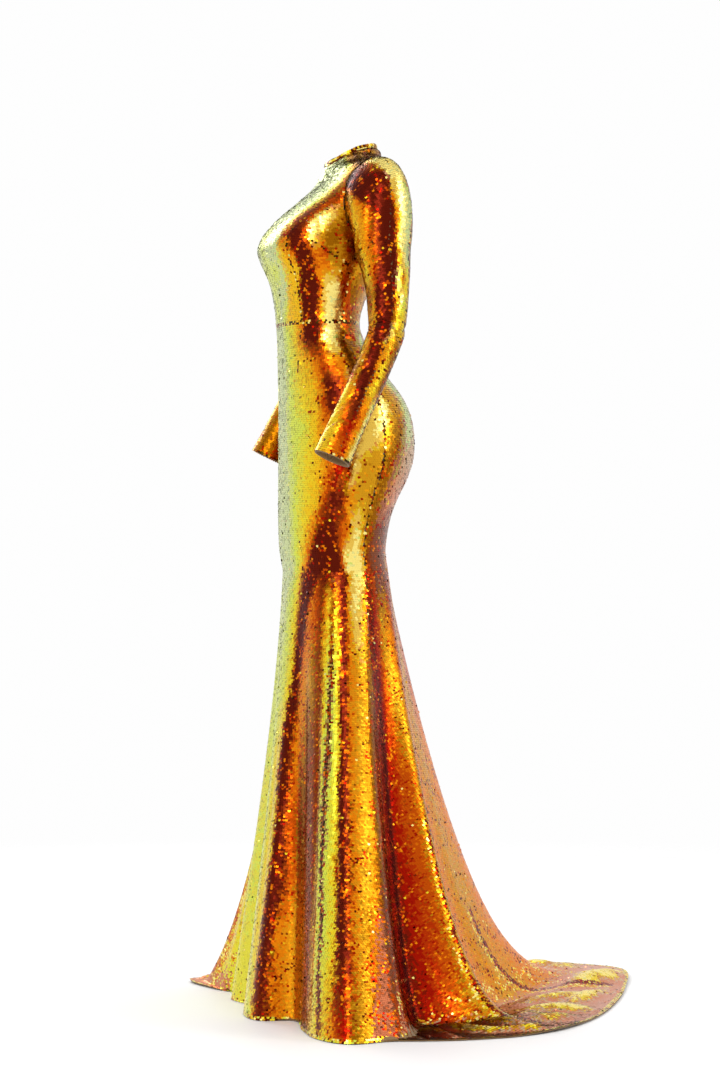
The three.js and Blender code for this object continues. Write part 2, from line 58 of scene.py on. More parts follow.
NECK = {"half_width": 62.0, "half_depth": 46.0, "middle": 24.0, "above": 1500.0}
ARMHOLE = {"height": 1439.0, "middle": 24.0, "half_height": 67.0, "half_depth": 44.0, "lean": 4.0,
           "margin": 0.8, "beyond": 60.0}
CUP = {"angle": 36.0, "width": 26.0, "height": 1364.0, "tall": 52.0, "rise": 7.0}
SLEEVE_HEAD = {"outward": 0.44, "upward": 0.2, "downward": 0.58, "backward": 40.0, "trailing": 14.0,
               "clear": 0.9, "inside": 0.5}
STEEP_FALL = {"near_plan": 0.16, "near_height": 0.66, "far_plan": 0.6, "far_height": 0.33}
CURLED_FALL = {"near_plan": 0.2, "near_height": 0.62, "far_plan": 0.52, "far_height": 0.0}
CURLED_LANDING = 0.72
FLOOR_RUN_SHARE = 0.34
# Small steps along a surface that give its normals.
BODY_STEPS = (0.05, 0.05)
SKIRT_STEPS = (0.05, 0.5)
SLEEVE_STEPS = (0.002, 0.02)


def read_table(names, rows):
    """A table with named columns, each column an array."""
    columns = np.array(rows, dtype=float).T
    return {name: column for name, column in zip(names, columns)}


SECTIONS = read_table(("height", "half_width", "front", "back", "roundness"), [
    (FLARE, 150, -94, 84, 2.1),
    (827, 156, -100, 79, 2.1),
    (881, 163, -102, 87, 2.1),
    (917, 168, -102, 100, 2.1),
    (953, 173, -102, 118, 2.1),
    (989, 176, -102, 130, 2.1),
    (1025, 176, -102, 132, 2.1),
    (1061, 173, -102, 127, 2.1),
    (1097, 166, -102, 112, 2.1),
    (1133, 155, -103, 85, 2.1),
    (1169, 141, -104, 61, 2.1),
    (1200, 129, -105, 42, 2.1),
    (WAIST, 124, -107, 33, 2.1),
    (1270, 127, -111, 42, 2.1),
    (1313, 135, -120, 61, 2.1),
    (1345, 143, -131, 75, 2.2),
    (1367, 147, -136, 83, 2.3),
    (1389, 149, -129, 89, 2.4),
    (1410, 151, -114, 93, 2.5),
    (1432, 153, -92, 95, 2.5),
    (1453, 156, -67, 95, 2.5),
    (1475, 160, -42, 94, 2.4),
    (1492, 164, -28, 91, 2.1),
    (1508, 161, -23.4, 87, 1.6),
    (1520, 112, -20.5, 83, 1.4),
    (1533, 80, -12, 79, 1.5),
    (1541, 72, 8, 76, 1.6),
    (1548, 42, 40, 69.5, 1.6),
])

PRINCESS_SEAM = read_table(("height", "angle"), [
    (WAIST, 47),
    (1285, 45),
    (1345, 42),
    (1385, 43),
    (1415, 49),
    (1442, 55),
    (1456, 68),
])

ARM_COLUMNS = ("height", "across", "deep", "half_across", "half_deep")
LEFT_ARM = read_table(ARM_COLUMNS, [
    (1350, 187, 39, 45, 48),
    (1315, 200, 41, 40, 42),
    (1280, 211, 41, 36, 37),
    (1245, 221, 39, 33, 34),
    (1222, 227, 37, 32, 32),
    (1203, 232, 34, 31.5, 31),
    (1184, 235, 27, 31, 30.5),
    (1150, 239, 12, 30.5, 30),
    (1100, 243, -11, 30, 30),
    (1050, 246, -35, 30, 30.5),
    (1012, 248, -53, 30.5, 31.5),
    (984, 250, -66, 31, 33),
])
RIGHT_ARM = read_table(ARM_COLUMNS, [
    (1350, 187, 36, 45, 48),
    (1315, 200, 37, 40, 42),
    (1280, 211, 36, 36, 37),
    (1248, 221, 33, 33, 34),
    (1226, 227, 30, 32, 32),
    (1208, 232, 26, 31.5, 31),
    (1190, 235, 18, 31, 30.5),
    (1158, 239, 2, 30.5, 30),
    (1110, 243, -22, 30, 30),
    (1062, 246, -46, 30, 30.5),
    (1026, 248, -64, 30.5, 31.5),
    (999, 250, -77, 31, 33),
])

FOLDS = read_table(("angle", "left", "back", "landing", "lift"), [
    (0, 20, -176, 1, 0),
    (16, 98, -166, 1, 0),
    (30, 118, -104, 0.97, 0),
    (46, 222, -112, 1, 0),
    (66, 322, -108, 1, 0),
    (84, 388, -66, 1, 0),
    (97, 376, 14, 0.97, 2),
    (104, 386, 68, 0.8, 2),
    (111, 391, 124, 0.56, 2),
    (118, 386, 180, 0.44, 2),
    (126, 372, 240, 0.52, 4),
    (136, 322, 326, 0.74, 14),
    (148, 212, 419, 0.52, 3),
    (160, 60, 503, 0.5, 4),
    (170, -120, 580, 0.62, 9),
    (180, -330, 644, 0.74, 20),
    (191, -462, 582, 0.58, 4),
    (204, -536, 476, 0.52, 3),
    (217, -566, 360, 0.62, 15),
    (231, -552, 240, 0.48, 3),
    (245, -508, 128, 0.6, 12),
    (257, -460, 32, 0.62, 5),
    (267, -444, -44, 0.74, 4),
    (276, -432, -112, 0.8, 5),
    (288, -412, -196, 0.84, 9),
    (303, -300, -172, 0.9, 3),
    (317, -232, -138, 0.97, 0),
    (331, -158, -164, 1, 0),
    (345, -66, -142, 0.98, 0),
])
FOLD_ROUND = {name: np.concatenate([column, column, column]) for name, column in FOLDS.items()}
FOLD_ROUND["angle"] = np.concatenate([FOLDS["angle"] - 360, FOLDS["angle"], FOLDS["angle"] + 360])

# Colours of the sequins. Most are painted reflections: white is a painted highlight; dark, brown and shade
# are painted dark reflections; pale and lime paint in the reflection of the pale room.
TONES = {
    "pale": (0.79, 0.83, 0.56),
    "lime": (0.85, 0.88, 0.30),
    "yellow": (0.93, 0.82, 0.16),
    "amber": (0.95, 0.73, 0.11),
    "orange": (0.90, 0.50, 0.05),
    "ember": (0.74, 0.29, 0.03),
    "red": (0.62, 0.08, 0.02),
    "brown": (0.52, 0.20, 0.04),
    "dark": (0.36, 0.09, 0.04),
    "gold": (0.82, 0.58, 0.10),
    "olive": (0.60, 0.36, 0.02),
    "white": (0.99, 0.90, 0.50),
    "pink": (0.51, 0.28, 0.18),
    "blush": (0.80, 0.65, 0.50),
    "rosy": (0.82, 0.51, 0.35),
    "shade": (0.22, 0.16, 0.03),
}
# Sequins between two tones.
MIXES = ("pale lime", "lime yellow", "yellow amber", "amber orange", "orange ember", "ember red",
         "ember brown", "brown dark", "gold yellow", "gold olive", "olive brown", "pale olive",
         "pale pink", "pink brown", "gold white", "orange gold", "red dark", "pale white", "blush rosy",
         "rosy pink", "rosy gold")

# Painted reflections: the bands of light and dark that the sequins reflect, painted into their colour round
# the gown. Each row is a height and, from the centre front to the centre back on either side, tones and the
# degrees that they lie at.
BODICE_COLOURS = [
    (1500, "pale 0 20 32 40, lime 46, gold 52 56, olive 60, gold 66 76, ember 88, olive 98, gold 112, "
           "olive 140, ember 180"),
    (1478, "pale 0 20 34 42, lime 48, olive 55, gold 60, olive 66, ember 72 80, olive 90 98, gold 112, "
           "olive 140, ember 180"),
    (1440, "pale 0 20 36, lime 44, gold 50, olive 54, brown 58, ember 62, brown 68, ember 76, "
           "olive 82 98, gold 120, olive 150, ember 180"),
    (1410, "pale 0 18 30, lime 35, olive 40, brown 44 50, ember 55, white 60 74, gold 80, olive 92, "
           "gold 120, olive 150, ember 180"),
    (1385, "lime 0, pale 16 29, olive 34, orange 39, dark 44 53, ember 57, white 62, gold 74, "
           "olive 80 96, brown 108, olive 150, ember 180"),
    (1350, "lime 0, pale 12 26, amber 35, orange 45, dark 50 61, ember 65, orange 68, ember 74, "
           "olive 79, gold 98, brown 107, olive 140, ember 180"),
    (1322, "lime 0 18, pale 26, amber 38 48, dark 51 64, orange 68 76 82, gold 90 104 116, olive 145, "
           "ember 180"),
    (1290, "lime 0, pale 14 26, amber 34 46, dark 49 69, orange 73, white 82 95, ember 99 105, "
           "olive 114, gold 142, olive 180"),
    (WAIST, "lime 0, pale 10, lime 16, amber 26 46, dark 51 70, orange 74, white 84 100, ember 106 114, "
            "olive 122, gold 142, olive 180"),
]
HIP_COLOURS = [
    (WAIST, "pale 0 10, lime 20, yellow 34, orange 48, dark 53 72, ember 78, white 84 100, ember 108, "
            "olive 124, gold 142, olive 160, orange 178"),
    (1200, "pale 0 10, lime 20, yellow 32, orange 43, dark 48 66, orange 71, white 76 89, olive 95 112, "
           "pale 132, blush 155, orange 178"),
    (1160, "pale 0 10, lime 19, yellow 30, amber 44, orange 56, ember 64, orange 72 80 88, olive 96, "
           "gold 112, pale 136, blush 156, gold 178"),
    (1120, "pale 0 10, lime 20, yellow 32, amber 46, orange 56, dark 62 74, ember 80, white 96, "
           "gold 104 118, pale 138, blush 158, gold 178"),
    (1085, "pale 0 9, lime 20, yellow 34, amber 48, ember 56, dark 61 70, orange 78, white 112, "
           "gold 116 126, pale 142, blush 160, gold 178"),
    (1040, "pale 0 8, lime 20 32, amber 46, orange 56, ember 64, dark 68, orange 76, white 101, "
           "gold 110, olive 122, pale 134, blush 158, gold 178"),
    (985, "pale 0 10, lime 22, yellow 36, amber 48, orange 58, red 70, orange 77, white 80, "
          "gold 86 102, olive 112, blush 130 152, orange 178"),
    (915, "pale 0 14, lime 26, yellow 38, amber 50, ember 58, dark 64 75, orange 81, gold 92 100, "
          "olive 110, rosy 126 148, orange 176"),
    (860, "pale 0 15, lime 27, yellow 38, orange 48, dark 56 73, ember 79, orange 87, white 94, "
          "gold 101, olive 109, pink 120 140, orange 170"),
    (810, "pale 0 15, lime 26, yellow 33, orange 41, dark 46 76, ember 79, white 83 98, orange 104, "
          "brown 108, pink 116 132, orange 155"),
    (FLARE, "pale 0 14, lime 22, yellow 28, orange 34, dark 39 79, ember 81, white 85 98, orange 103, "
            "red 108, pink 116 130, orange 150"),
]
FLARE_COLOURS = [
    (FLARE, "pale 0 14, yellow 26, dark 38 50 54 57 59 62 66 68 70 73 77 81, orange 84, white 91 98, "
            "orange 101, red 104, brown 109, ember 112, pink 116 122 130, brown 140, orange 150, "
            "gold 160, ember 172"),
    (738, "pale 0, lime 12, yellow 24, dark 31 40, orange 45, ember 50, brown 55, orange 59, yellow 64, "
          "brown 68, yellow 71, orange 74, dark 77 82, orange 84, white 92, orange 101, pink 103, "
          "red 105, dark 108, red 112, ember 116, gold 122, orange 130, ember 140, orange 150, "
          "gold 160, ember 172"),
    (600, "lime 0 11, yellow 19, dark 22 27, orange 31, gold 44, brown 56, yellow 62, lime 65, "
          "shade 68, lime 71, yellow 75, dark 78 82, orange 86, gold 95, olive 101, pink 105, red 109, "
          "dark 115, red 121, ember 129, gold 136, orange 144, brown 151, orange 160, gold 169, "
          "orange 176"),
    (455, "lime 0, yellow 7 12, dark 15 21, orange 26, olive 36, brown 56, yellow 60, lime 62, "
          "shade 66, lime 70, yellow 75, dark 77 82, orange 85, gold 91, olive 99, pink 107, red 111, "
          "dark 118, red 125, ember 131, gold 136, orange 146, brown 152, orange 162, gold 170, "
          "orange 177"),
    (350, "lime 0, yellow 8 13, dark 16 21, ember 24, olive 34, brown 55, yellow 60, lime 62, shade 65, "
          "lime 69, yellow 75, dark 78 83, orange 86, gold 92, olive 99, pink 106, red 110, dark 116, "
          "red 124, ember 130, gold 135, orange 146, brown 153, orange 163, gold 170, orange 177"),
    (250, "lime 0, yellow 7 12, dark 15 21, ember 24, gold 34, brown 53, yellow 60, lime 63, shade 65, "
          "lime 68, yellow 75, dark 78 82, orange 86, gold 90, olive 95, pink 100, red 104, dark 112, "
          "red 120, ember 127, gold 134, orange 146, brown 154, gold 163 170, orange 177"),
    (150, "lime 0, yellow 6 10, dark 13 18, orange 21, gold 32, brown 50, yellow 60, lime 64, shade 66, "
          "lime 68, yellow 75, dark 78 82, orange 86, gold 89, olive 92, pink 97, ember 102, "
          "orange 112, ember 121, orange 128, gold 134, orange 146, brown 156, gold 164, yellow 170, "
          "gold 177"),
    (0, "yellow 0, lime 6, yellow 10, brown 13, dark 18, orange 22, gold 32, brown 50, yellow 58 64, "
        "dark 66, yellow 70, orange 75, ember 78, red 83, olive 86, gold 89, pink 92 97, ember 102, "
        "gold 112, brown 120, gold 128, orange 134, brown 146, gold 158, orange 164, gold 170, "
        "yellow 177"),
]
# Painted reflections round a sleeve, the light and dark bands painted into the sequins' colour, in degrees
# from its outside line towards the back.
SLEEVE_COLOURS = [
    (1507, "olive -120, gold -70, olive -50, brown -40, gold -20, white -5 40, gold 62, olive 110"),
    (1480, "olive -120, orange -76, ember -64, dark -58 6, white 13 42, olive 60, ember 100"),
    (1446, "orange -120, amber -74, orange -60, dark -54 10, orange 16, white 34, pale 60, ember 110"),
    (1420, "olive -120, amber -68, orange -38, dark -14 18, orange 25, white 40, pale 62, ember 110"),
    (1368, "olive -120, yellow -66, orange -36, dark -4 25, orange 31, white 44, pale 62, olive 110"),
    (1333, "olive -120, yellow -60, orange -32, dark -7 28, amber 38, white 52, pale 64, olive 110"),
    (1298, "olive -120, yellow -58, ember -32, dark -22 18, white 27, orange 42, yellow 62, olive 110"),
    (1263, "olive -120 -60, gold -42, dark -36 20, orange 28, white 44, yellow 66, olive 110"),
    (1228, "olive -120, gold -64 -40, dark -35 11, olive 18, yellow 44 66, olive 110"),
    (1202, "olive -120, gold -64, orange -44, dark -36 4, white 14, gold 36, yellow 60, olive 110"),
    (1176, "olive -120, yellow -64, orange -38, dark -29 -1, orange 6, gold 36, olive 62 110"),
    (1141, "olive -120 -60, gold -32, dark -25 2, orange 9, yellow 36, olive 60 110"),
    (1106, "olive -120, yellow -60, orange -30, dark -19 10, gold 18, yellow 42, olive 60 110"),
    (1072, "olive -120, yellow -60, orange -26, brown -8, dark 12, orange 22 44, white 60, olive 110"),
    (1037, "olive -120, yellow -56, gold -18, ember -10, red 20, orange 40 48, white 60, olive 110"),
    (1000, "olive -120, yellow -56, gold -20, orange -12, ember 30, orange 38, gold 46, white 62, "
           "olive 110"),
]
# Lying sequins of the train by the light that they catch, from low to high.
FLOOR_LIMITS = (-1.0, -0.7, -0.4, 0.0, 0.12, 0.3, 0.5)
FLOOR_TONES = ("brown", "pink", "rosy", "rosy", "blush", "gold", "yellow", "white")
# Where the train spreads, lies and crumples at its foot, as shares of the way to its landing, and how many
# sequins of the foot get painted highlights.
FLOOR = {"spread": 0.93, "lying": (0.84, 1.04), "foot": (0.7, 0.84), "foot_end": 1.14, "crumple": 0.2,
         "painted_glint": 0.8}
# Thin lines of painted highlight and painted dark reflection along the crests of the folds: angle and top
# level.
CREST_LINES = [(104.0, 560.0), (134.0, 540.0), (170.0, 460.0), (217.0, 420.0), (245.0, 420.0)]
CREST = {"low": 40.0, "shown": 0.75, "bright": 2.4, "dark_at": 5.0, "dark": 2.6}
# The crest of the far front fold, which shows beside the near ones, painted as patches of reflected light
# with a lime edge.
FAR_FOLD = {"angle": -72.0, "spread": 13.0, "top": 420.0, "share": 0.85}
# The right side of the flare keeps the pale painted reflection of the centre front almost to the side.
FAR_SIDE = {"pale_to": 62.0, "ends": 84.0, "share": 0.1, "blend": 90}
# Chances of a sequin painted as if turned another way, as a painted dark reflection, warm glint or bright
# glint: anywhere, in its own streaks, and more in its patches.
FLECK = {"dark": (0.002, 0.012, 0.22), "painted_glint": (0.03, 0.5), "lit": (0.001, 0.001, 0.03),
         "warm_below": 0.52, "dim_below": 0.68}

# Seams and darts that the sequins mark with painted shade and highlights. Widths are on either side of the
# line.
SHOULDER = {"depth": 34.0, "height": 1506.0}
SEAM_TOPS = {"princess": 1456.0, "side": 1375.0}
SEAM_WIDTHS = {"skirt": 2.6, "waist": 2.8, "princess": 2.0, "side": 2.2, "centre_back": 2.0,
               "shoulder": 2.0}
SKIRT_DART = {"foot": 1140.0, "tall": 90.0, "foot_angle": 31.0, "waist_angle": 47.0, "width": 1.8}
BUST_DART = {"start": 56.0, "start_height": 1382.0, "end_height": 1322.0, "width": 2.0}
# Where the painted highlight along the hem begins, as shares of the run, in front and behind.
HEM_RUN = {"front": 0.991, "back": 0.984}
# The colours of a sleeve are turned round it. Its seam is in their degrees, its ends are rows.
SLEEVE_MARKS = {"turned": 13.0, "seam": 72.0, "degree": 0.55, "width": 1.8, "head": -0.97, "cuff": 10.88}
# Strips of ground cloth inside the centre back seam and under the neck binding.
ALLOWANCE = {"start": 176.4, "end": 183.6, "inside": 1.8, "neck_inside": 1.2,
             "neck_rises": (5.0, 2.0, -1.0, -4.0, -7.0)}
BINDING = {"inside": 0.6, "lift": 1.3, "rises": (1.2, 4.4), "around": 78}

# How far sequins lie apart, their radius, how far they lift off, and their turn in degrees.
SEQUIN = {"across": 4.3, "down": 3.75, "radius": 2.95, "lift": 0.7, "tilt": 7.0, "spread": 2.4}
# A few sequins stand away from their neighbours: how many, and by how many degrees.
WILD = {"share": 0.02, "tilt": 18, "roll": 14}
# Rows lie closer together on the bodice, and the net over the shoulders is closer too.
BODICE_ROWS = {"down": 0.9, "top_down": 0.66, "net_across": 0.88, "net_down": 0.85, "net_from": 1503.0}


def smooth_value(table, key, column, at):
    """A smooth curve through the rows of a table, read at many places."""
    keys = table[key]
    values = table[column]
    at = np.clip(at, keys[0], keys[-1])
    slopes = np.empty_like(values)
    slopes[1:-1] = (values[2:] - values[:-2]) / (keys[2:] - keys[:-2])
    slopes[0] = (values[1] - values[0]) / (keys[1] - keys[0])
    slopes[-1] = (values[-1] - values[-2]) / (keys[-1] - keys[-2])
    place = np.clip(np.searchsorted(keys, at, side="right") - 1, 0, len(keys) - 2)
    step = keys[place + 1] - keys[place]
    share = (at - keys[place]) / step
    square = share * share
    cube = square * share
    return (values[place] * (2 * cube - 3 * square + 1)
            + slopes[place] * step * (cube - 2 * square + share)
            + values[place + 1] * (3 * square - 2 * cube)
            + slopes[place + 1] * step * (cube - square))


def signed_power(value, power):
    return np.sign(value) * np.abs(value) ** power


def smoothstep(value, low, high):
    share = np.clip((value - low) / (high - low), 0.0, 1.0)
    return share * share * (3 - 2 * share)


def mix(start, end, share):
    return start + (end - start) * share


def unit(vectors):
    return vectors / np.maximum(np.linalg.norm(vectors, axis=-1, keepdims=True), 1e-9)


def signed_angle(angle):
    return (angle + 180.0) % 360.0 - 180.0


def section_at(height):
    """Half width, middle, half depth and roundness of the body's section."""
    half_width, front, back, roundness = (smooth_value(SECTIONS, "height", column, height)
                                          for column in ("half_width", "front", "back", "roundness"))
    return half_width, (front + back) / 2, (back - front) / 2, roundness


def body_angle(across, deep, height):
    """The angle round the body of places on its section."""
    half_width, middle, half_depth, roundness = section_at(height)
    sine = signed_power(across / half_width, roundness / 2)
    cosine = signed_power((middle - deep) / half_depth, roundness / 2)
    return np.degrees(np.arctan2(sine, cosine))


def body_point(angle, height):
    """The outer face of bodice and hips."""
    angle, height = np.broadcast_arrays(np.asarray(angle, float), np.asarray(height, float))
    half_width, middle, half_depth, roundness = section_at(height)
    power = 2 / roundness
    turn = np.radians(angle)
    aside = (np.abs(signed_angle(angle)) - CUP["angle"]) / CUP["width"]
    above = (height - CUP["height"]) / CUP["tall"]
    push = CUP["rise"] * np.exp(-aside * aside - above * above)
    return np.stack([
        half_width * signed_power(np.sin(turn), power) + push * np.sin(turn),
        middle - half_depth * signed_power(np.cos(turn), power) - push * np.cos(turn),
        height,
    ], axis=-1)


def flare_state(angle, run):
    """Plan share, height and landing share on the flare."""
    def fold_value(column):
        return smooth_value(FOLD_ROUND, "angle", column, angle)

    landing = np.minimum(fold_value("landing"), 1.0)
    curl = smoothstep(1 - landing, 0, 1 - CURLED_LANDING)
    floor_share = FLOOR_RUN_SHARE * smoothstep(1 - landing, 0, 0.4)
    fall_share = 1 - floor_share
    handle = {name: mix(STEEP_FALL[name], CURLED_FALL[name], curl) for name in STEEP_FALL}
    done = np.minimum(run / fall_share, 1.0)
    rest = 1 - done
    early, late = 3 * rest * rest * done, 3 * rest * done * done
    plan = landing * (early * handle["near_plan"] + late * handle["far_plan"] + done ** 3)
    fall = rest ** 3 + early * handle["near_height"] + late * handle["far_height"]
    floor_height = CLOTH_WALL + FLOOR_CLEARANCE
    height = mix(floor_height, FLARE, fall)
    beyond = (run - fall_share) / np.maximum(floor_share, 1e-6)
    plan = np.where(run > fall_share, mix(landing, 1.0, np.clip(beyond, 0, 1)), plan)
    lift = np.maximum(fold_value("lift"), 0)
    lift = lift * smoothstep(plan, 0.35, 0.75) * (1 - 0.75 * smoothstep(plan, 0.75, 1))
    return plan, height + lift, landing


def flare_point(angle, run):
    angle, run = np.broadcast_arrays(np.asarray(angle, float), np.asarray(run, float))
    start = body_point(angle, np.full_like(angle, FLARE))
    plan, height, landing = flare_state(angle, run)
    left = smooth_value(FOLD_ROUND, "angle", "left", angle)
    back = smooth_value(FOLD_ROUND, "angle", "back", angle)
    return np.stack([mix(start[..., 0], left, plan), mix(start[..., 1], back, plan), height], axis=-1)


def skirt_point(angle, level):
    """The skirt's outer face. Level is a height above the flare, and below it the flare's run."""
    run = 1 - level / FLARE
    above = body_point(angle, np.maximum(level, FLARE))
    below = flare_point(angle, np.clip(run, 0, 1))
    return np.where((np.asarray(level) >= FLARE)[..., None], above, below)


def angle_at_depth(height, depth):
    half_width, middle, half_depth, roundness = section_at(height)
    share = np.clip((middle - depth) / half_depth, -1, 1)
    return np.degrees(np.arccos(np.clip(signed_power(share, roundness / 2), -1, 1)))


def armhole_place(share):
    turn = share * 2 * np.pi
    height = ARMHOLE["height"] + ARMHOLE["half_height"] * np.cos(turn)
    lean = ARMHOLE["lean"] * (1 - np.cos(turn)) / 2
    depth = ARMHOLE["middle"] - lean - ARMHOLE["half_depth"] * np.sin(turn)
    return angle_at_depth(height, depth), height


def arm_frames(arm, at):
    """Centre, outward and forward ways, and half sizes of a sleeve at row numbers that may lie
    between the table's rows."""
    rows = {"row": np.arange(len(arm["height"]), dtype=float), **arm}

    def value(column, place):
        return smooth_value(rows, "row", column, place)

    def centre(place):
        return np.stack([value("across", place), value("deep", place), value("height", place)], axis=-1)

    last = len(arm["height"]) - 1.0
    down = unit(centre(np.minimum(at + 0.5, last)) - centre(np.maximum(at - 0.5, 0)))
    forward = unit(np.array([0.0, -1.0, 0.0]) + down * down[..., 1:2])
    outward = unit(np.cross(forward, down))
    outward = outward * np.sign(outward[..., :1])
    return centre(at), outward, forward, value("half_across", at), value("half_deep", at)


def arm_point(arm, share, at):
    centre, outward, forward, half_across, half_deep = arm_frames(arm, at)
    turn = share * 2 * np.pi
    return (centre + outward * (half_across * np.cos(turn))[..., None]
            + forward * (half_deep * np.sin(turn))[..., None])


def sleeve_point(arm, share, at):
    """A sleeve's outer face. Negative rows run over the sleeve head, from -1 at the armhole."""
    share, at = np.broadcast_arrays(np.asarray(share, float), np.asarray(at, float))
    angle, height = armhole_place(share)
    start = body_point(angle, height)
    centre = np.stack([start[..., 0], np.full_like(share, ARMHOLE["middle"]),
                       np.full_like(share, ARMHOLE["height"])], axis=-1)
    start = start + unit(centre - start) * SLEEVE_HEAD["inside"]
    start[..., 0] += SLEEVE_HEAD["clear"]
    end = arm_point(arm, share, np.zeros_like(at))
    reach = np.linalg.norm(end - start, axis=-1)
    top = (1 + np.cos(share * 2 * np.pi)) / 2
    back = top * (1 - np.sin(share * 2 * np.pi)) / 2
    first = start + np.stack([reach * SLEEVE_HEAD["outward"], back * SLEEVE_HEAD["backward"],
                              reach * SLEEVE_HEAD["upward"] * top], -1)
    second = end + np.stack([np.zeros_like(reach), back * SLEEVE_HEAD["trailing"],
                             reach * SLEEVE_HEAD["downward"] * top], -1)
    done = np.clip(at + 1, 0, 1)[..., None]
    rest = 1 - done
    head = (rest ** 3 * start + 3 * rest * rest * done * first + 3 * rest * done * done * second
            + done ** 3 * end)
    below = arm_point(arm, share, np.maximum(at, 0))
    return np.where((at >= 0)[..., None], below, head)


def crease_sum(first, second, creases, first_scale, second_scale):
    """Soft creases, each from a start to an end with its width and depth. A negative depth is a ridge."""
    total = np.zeros(np.broadcast(first, second).shape)
    for start_first, start_second, end_first, end_second, width, depth in creases:
        along_first = (end_first - start_first) * first_scale
        along_second = (end_second - start_second) * second_scale
        length = along_first ** 2 + along_second ** 2
        from_first = (first - start_first) * first_scale
        from_second = (second - start_second) * second_scale
        share = np.clip((from_first * along_first + from_second * along_second) / length, 0, 1)
        away = np.hypot(from_first - share * along_first, from_second - share * along_second)
        fade = 1 - (2 * share - 1) ** 2 * 0.7
        total -= depth * fade * np.exp(-(away / width) ** 2)
    return total


# Creases of a sleeve: share round it and row at the start and end, width and depth in mm.
SLEEVE_CREASES = [
    (0.17, 4.5, 0.34, 5.4, 5, 4.6),
    (0.13, 5.7, 0.31, 5.0, 4, 3.6),
    (0.20, 3.9, 0.37, 4.8, 5, 3.0),
    (0.02, 4.2, 0.18, 4.7, 5, 2.4),
    (0.04, 6.1, 0.22, 5.7, 5, 2.2),
    (0.72, 4.2, 0.92, 5.2, 6, 2.2),
    (0.80, 5.8, 0.99, 5.0, 5, 2.0),
    (0.00, 4.9, 0.16, 5.3, 6, -2.0),
    (0.10, 9.1, 0.28, 9.8, 4, 2.2),
    (0.90, 9.6, 1.06, 9.2, 4, 2.4),
    (0.06, 8.2, 0.20, 8.9, 5, 1.8),
    (0.02, 7.1, 0.15, 7.6, 5, 1.5),
    (0.22, -0.35, 0.30, 0.9, 7, 3.0),
    (0.08, -0.5, 0.17, 0.3, 6, 1.8),
    (0.64, -0.3, 0.74, 0.8, 7, 2.4),
    (0.86, 2.0, 0.98, 2.9, 7, 1.6),
    (0.12, 2.4, 0.24, 1.7, 6, 1.7),
]
# Millimetres of cloth for a whole turn of a sleeve and for one of its rows.
SLEEVE_ROUND = 210.0
SLEEVE_ROW = 34.0

# Creases of bodice and hips: angle and height at the start and end, width and depth in mm.
BODY_CREASES = [
    (60, 1222, 84, 1214, 6, 1.6),
    (-64, 1221, -90, 1212, 6, 1.5),
    (92, 1206, 124, 1190, 7, 1.8),
    (-95, 1204, -128, 1188, 7, 1.7),
    (70, 1246, 98, 1256, 6, 1.4),
    (-72, 1247, -96, 1255, 6, 1.3),
    (110, 1250, 150, 1264, 7, 1.6),
    (-112, 1248, -146, 1262, 7, 1.5),
    (120, 1172, 160, 1158, 8, 1.5),
    (-118, 1174, -158, 1160, 8, 1.5),
    (62, 1418, 74, 1380, 7, 1.6),
    (-62, 1418, -74, 1380, 7, 1.6),
    (72, 806, 96, 846, 8, 1.4),
    (-74, 808, -98, 850, 8, 1.4),
]
# Millimetres of cloth for a degree.
BODY_DEGREE = 2.4

# Creases of the flare and train: angle and level at the start and end, width and depth in mm.
FLARE_CREASES = [
    (38, 700, 37, 60, 14, 4.0),
    (56, 640, 57, 40, 15, 3.4),
    (75, 600, 76, 60, 14, 3.2),
    (8, 560, 9, 40, 14, 2.6),
    (-8, 620, -7, 80, 13, 2.4),
    (-37, 600, -38, 50, 15, 3.6),
    (-62, 640, -62, 60, 16, 4.0),
    (-78, 560, -80, 70, 15, 3.0),
    (108, 560, 108, 230, 10, 2.6),
    (142, 600, 143, 260, 12, 3.6),
    (155, 560, 154, 240, 14, 3.0),
    (166, 600, 165, 250, 12, 2.6),
    (186, 600, 187, 260, 14, 3.2),
    (198, 620, 197, 240, 15, 3.6),
    (211, 560, 210, 260, 13, 3.0),
    (224, 600, 224, 230, 14, 3.2),
    (238, 560, 238, 240, 13, 2.8),
    (252, 600, 251, 230, 12, 2.6),
]
# Waves of the train where it lies on the floor: angle and run at start and end, width, height.
TRAIN_WAVES = [
    (108, 0.66, 111, 0.95, 18, -10.0),
    (116, 0.74, 122, 0.90, 24, -12.5),
    (121, 0.88, 133, 0.96, 20, -8.5),
    (129, 0.70, 131, 0.93, 22, -14.0),
    (138, 0.80, 146, 0.95, 26, -11.0),
    (143, 0.68, 146, 0.84, 20, -8.5),
    (151, 0.74, 153, 0.96, 28, -15.5),
    (158, 0.86, 167, 0.93, 26, -10.0),
    (163, 0.70, 164, 0.90, 24, -11.0),
    (172, 0.76, 177, 0.97, 30, -14.0),
    (184, 0.72, 186, 0.90, 24, -10.0),
    (189, 0.88, 199, 0.95, 28, -12.5),
    (197, 0.70, 199, 0.86, 22, -11.0),
    (208, 0.76, 213, 0.96, 26, -12.5),
    (221, 0.72, 223, 0.92, 24, -10.0),
    (229, 0.88, 239, 0.94, 24, -8.5),
    (238, 0.72, 240, 0.88, 20, -11.0),
    (249, 0.78, 255, 0.96, 22, -10.0),
    (263, 0.70, 265, 0.90, 18, -8.5),
    (278, 0.82, 287, 0.94, 18, -8.5),
]
# Millimetres of cloth for a degree of the flare and of the train, and for the whole run.
FLARE_DEGREE = 4.6
TRAIN_DEGREE = 9.0
TRAIN_RUN = 1000.0
# The run where the waves rise, and where they sink towards the hem.
TRAIN_RISE = (0.58, 0.72)
TRAIN_EDGE = (0.97, 1.0)
TRAIN_EDGE_DROP = 0.7


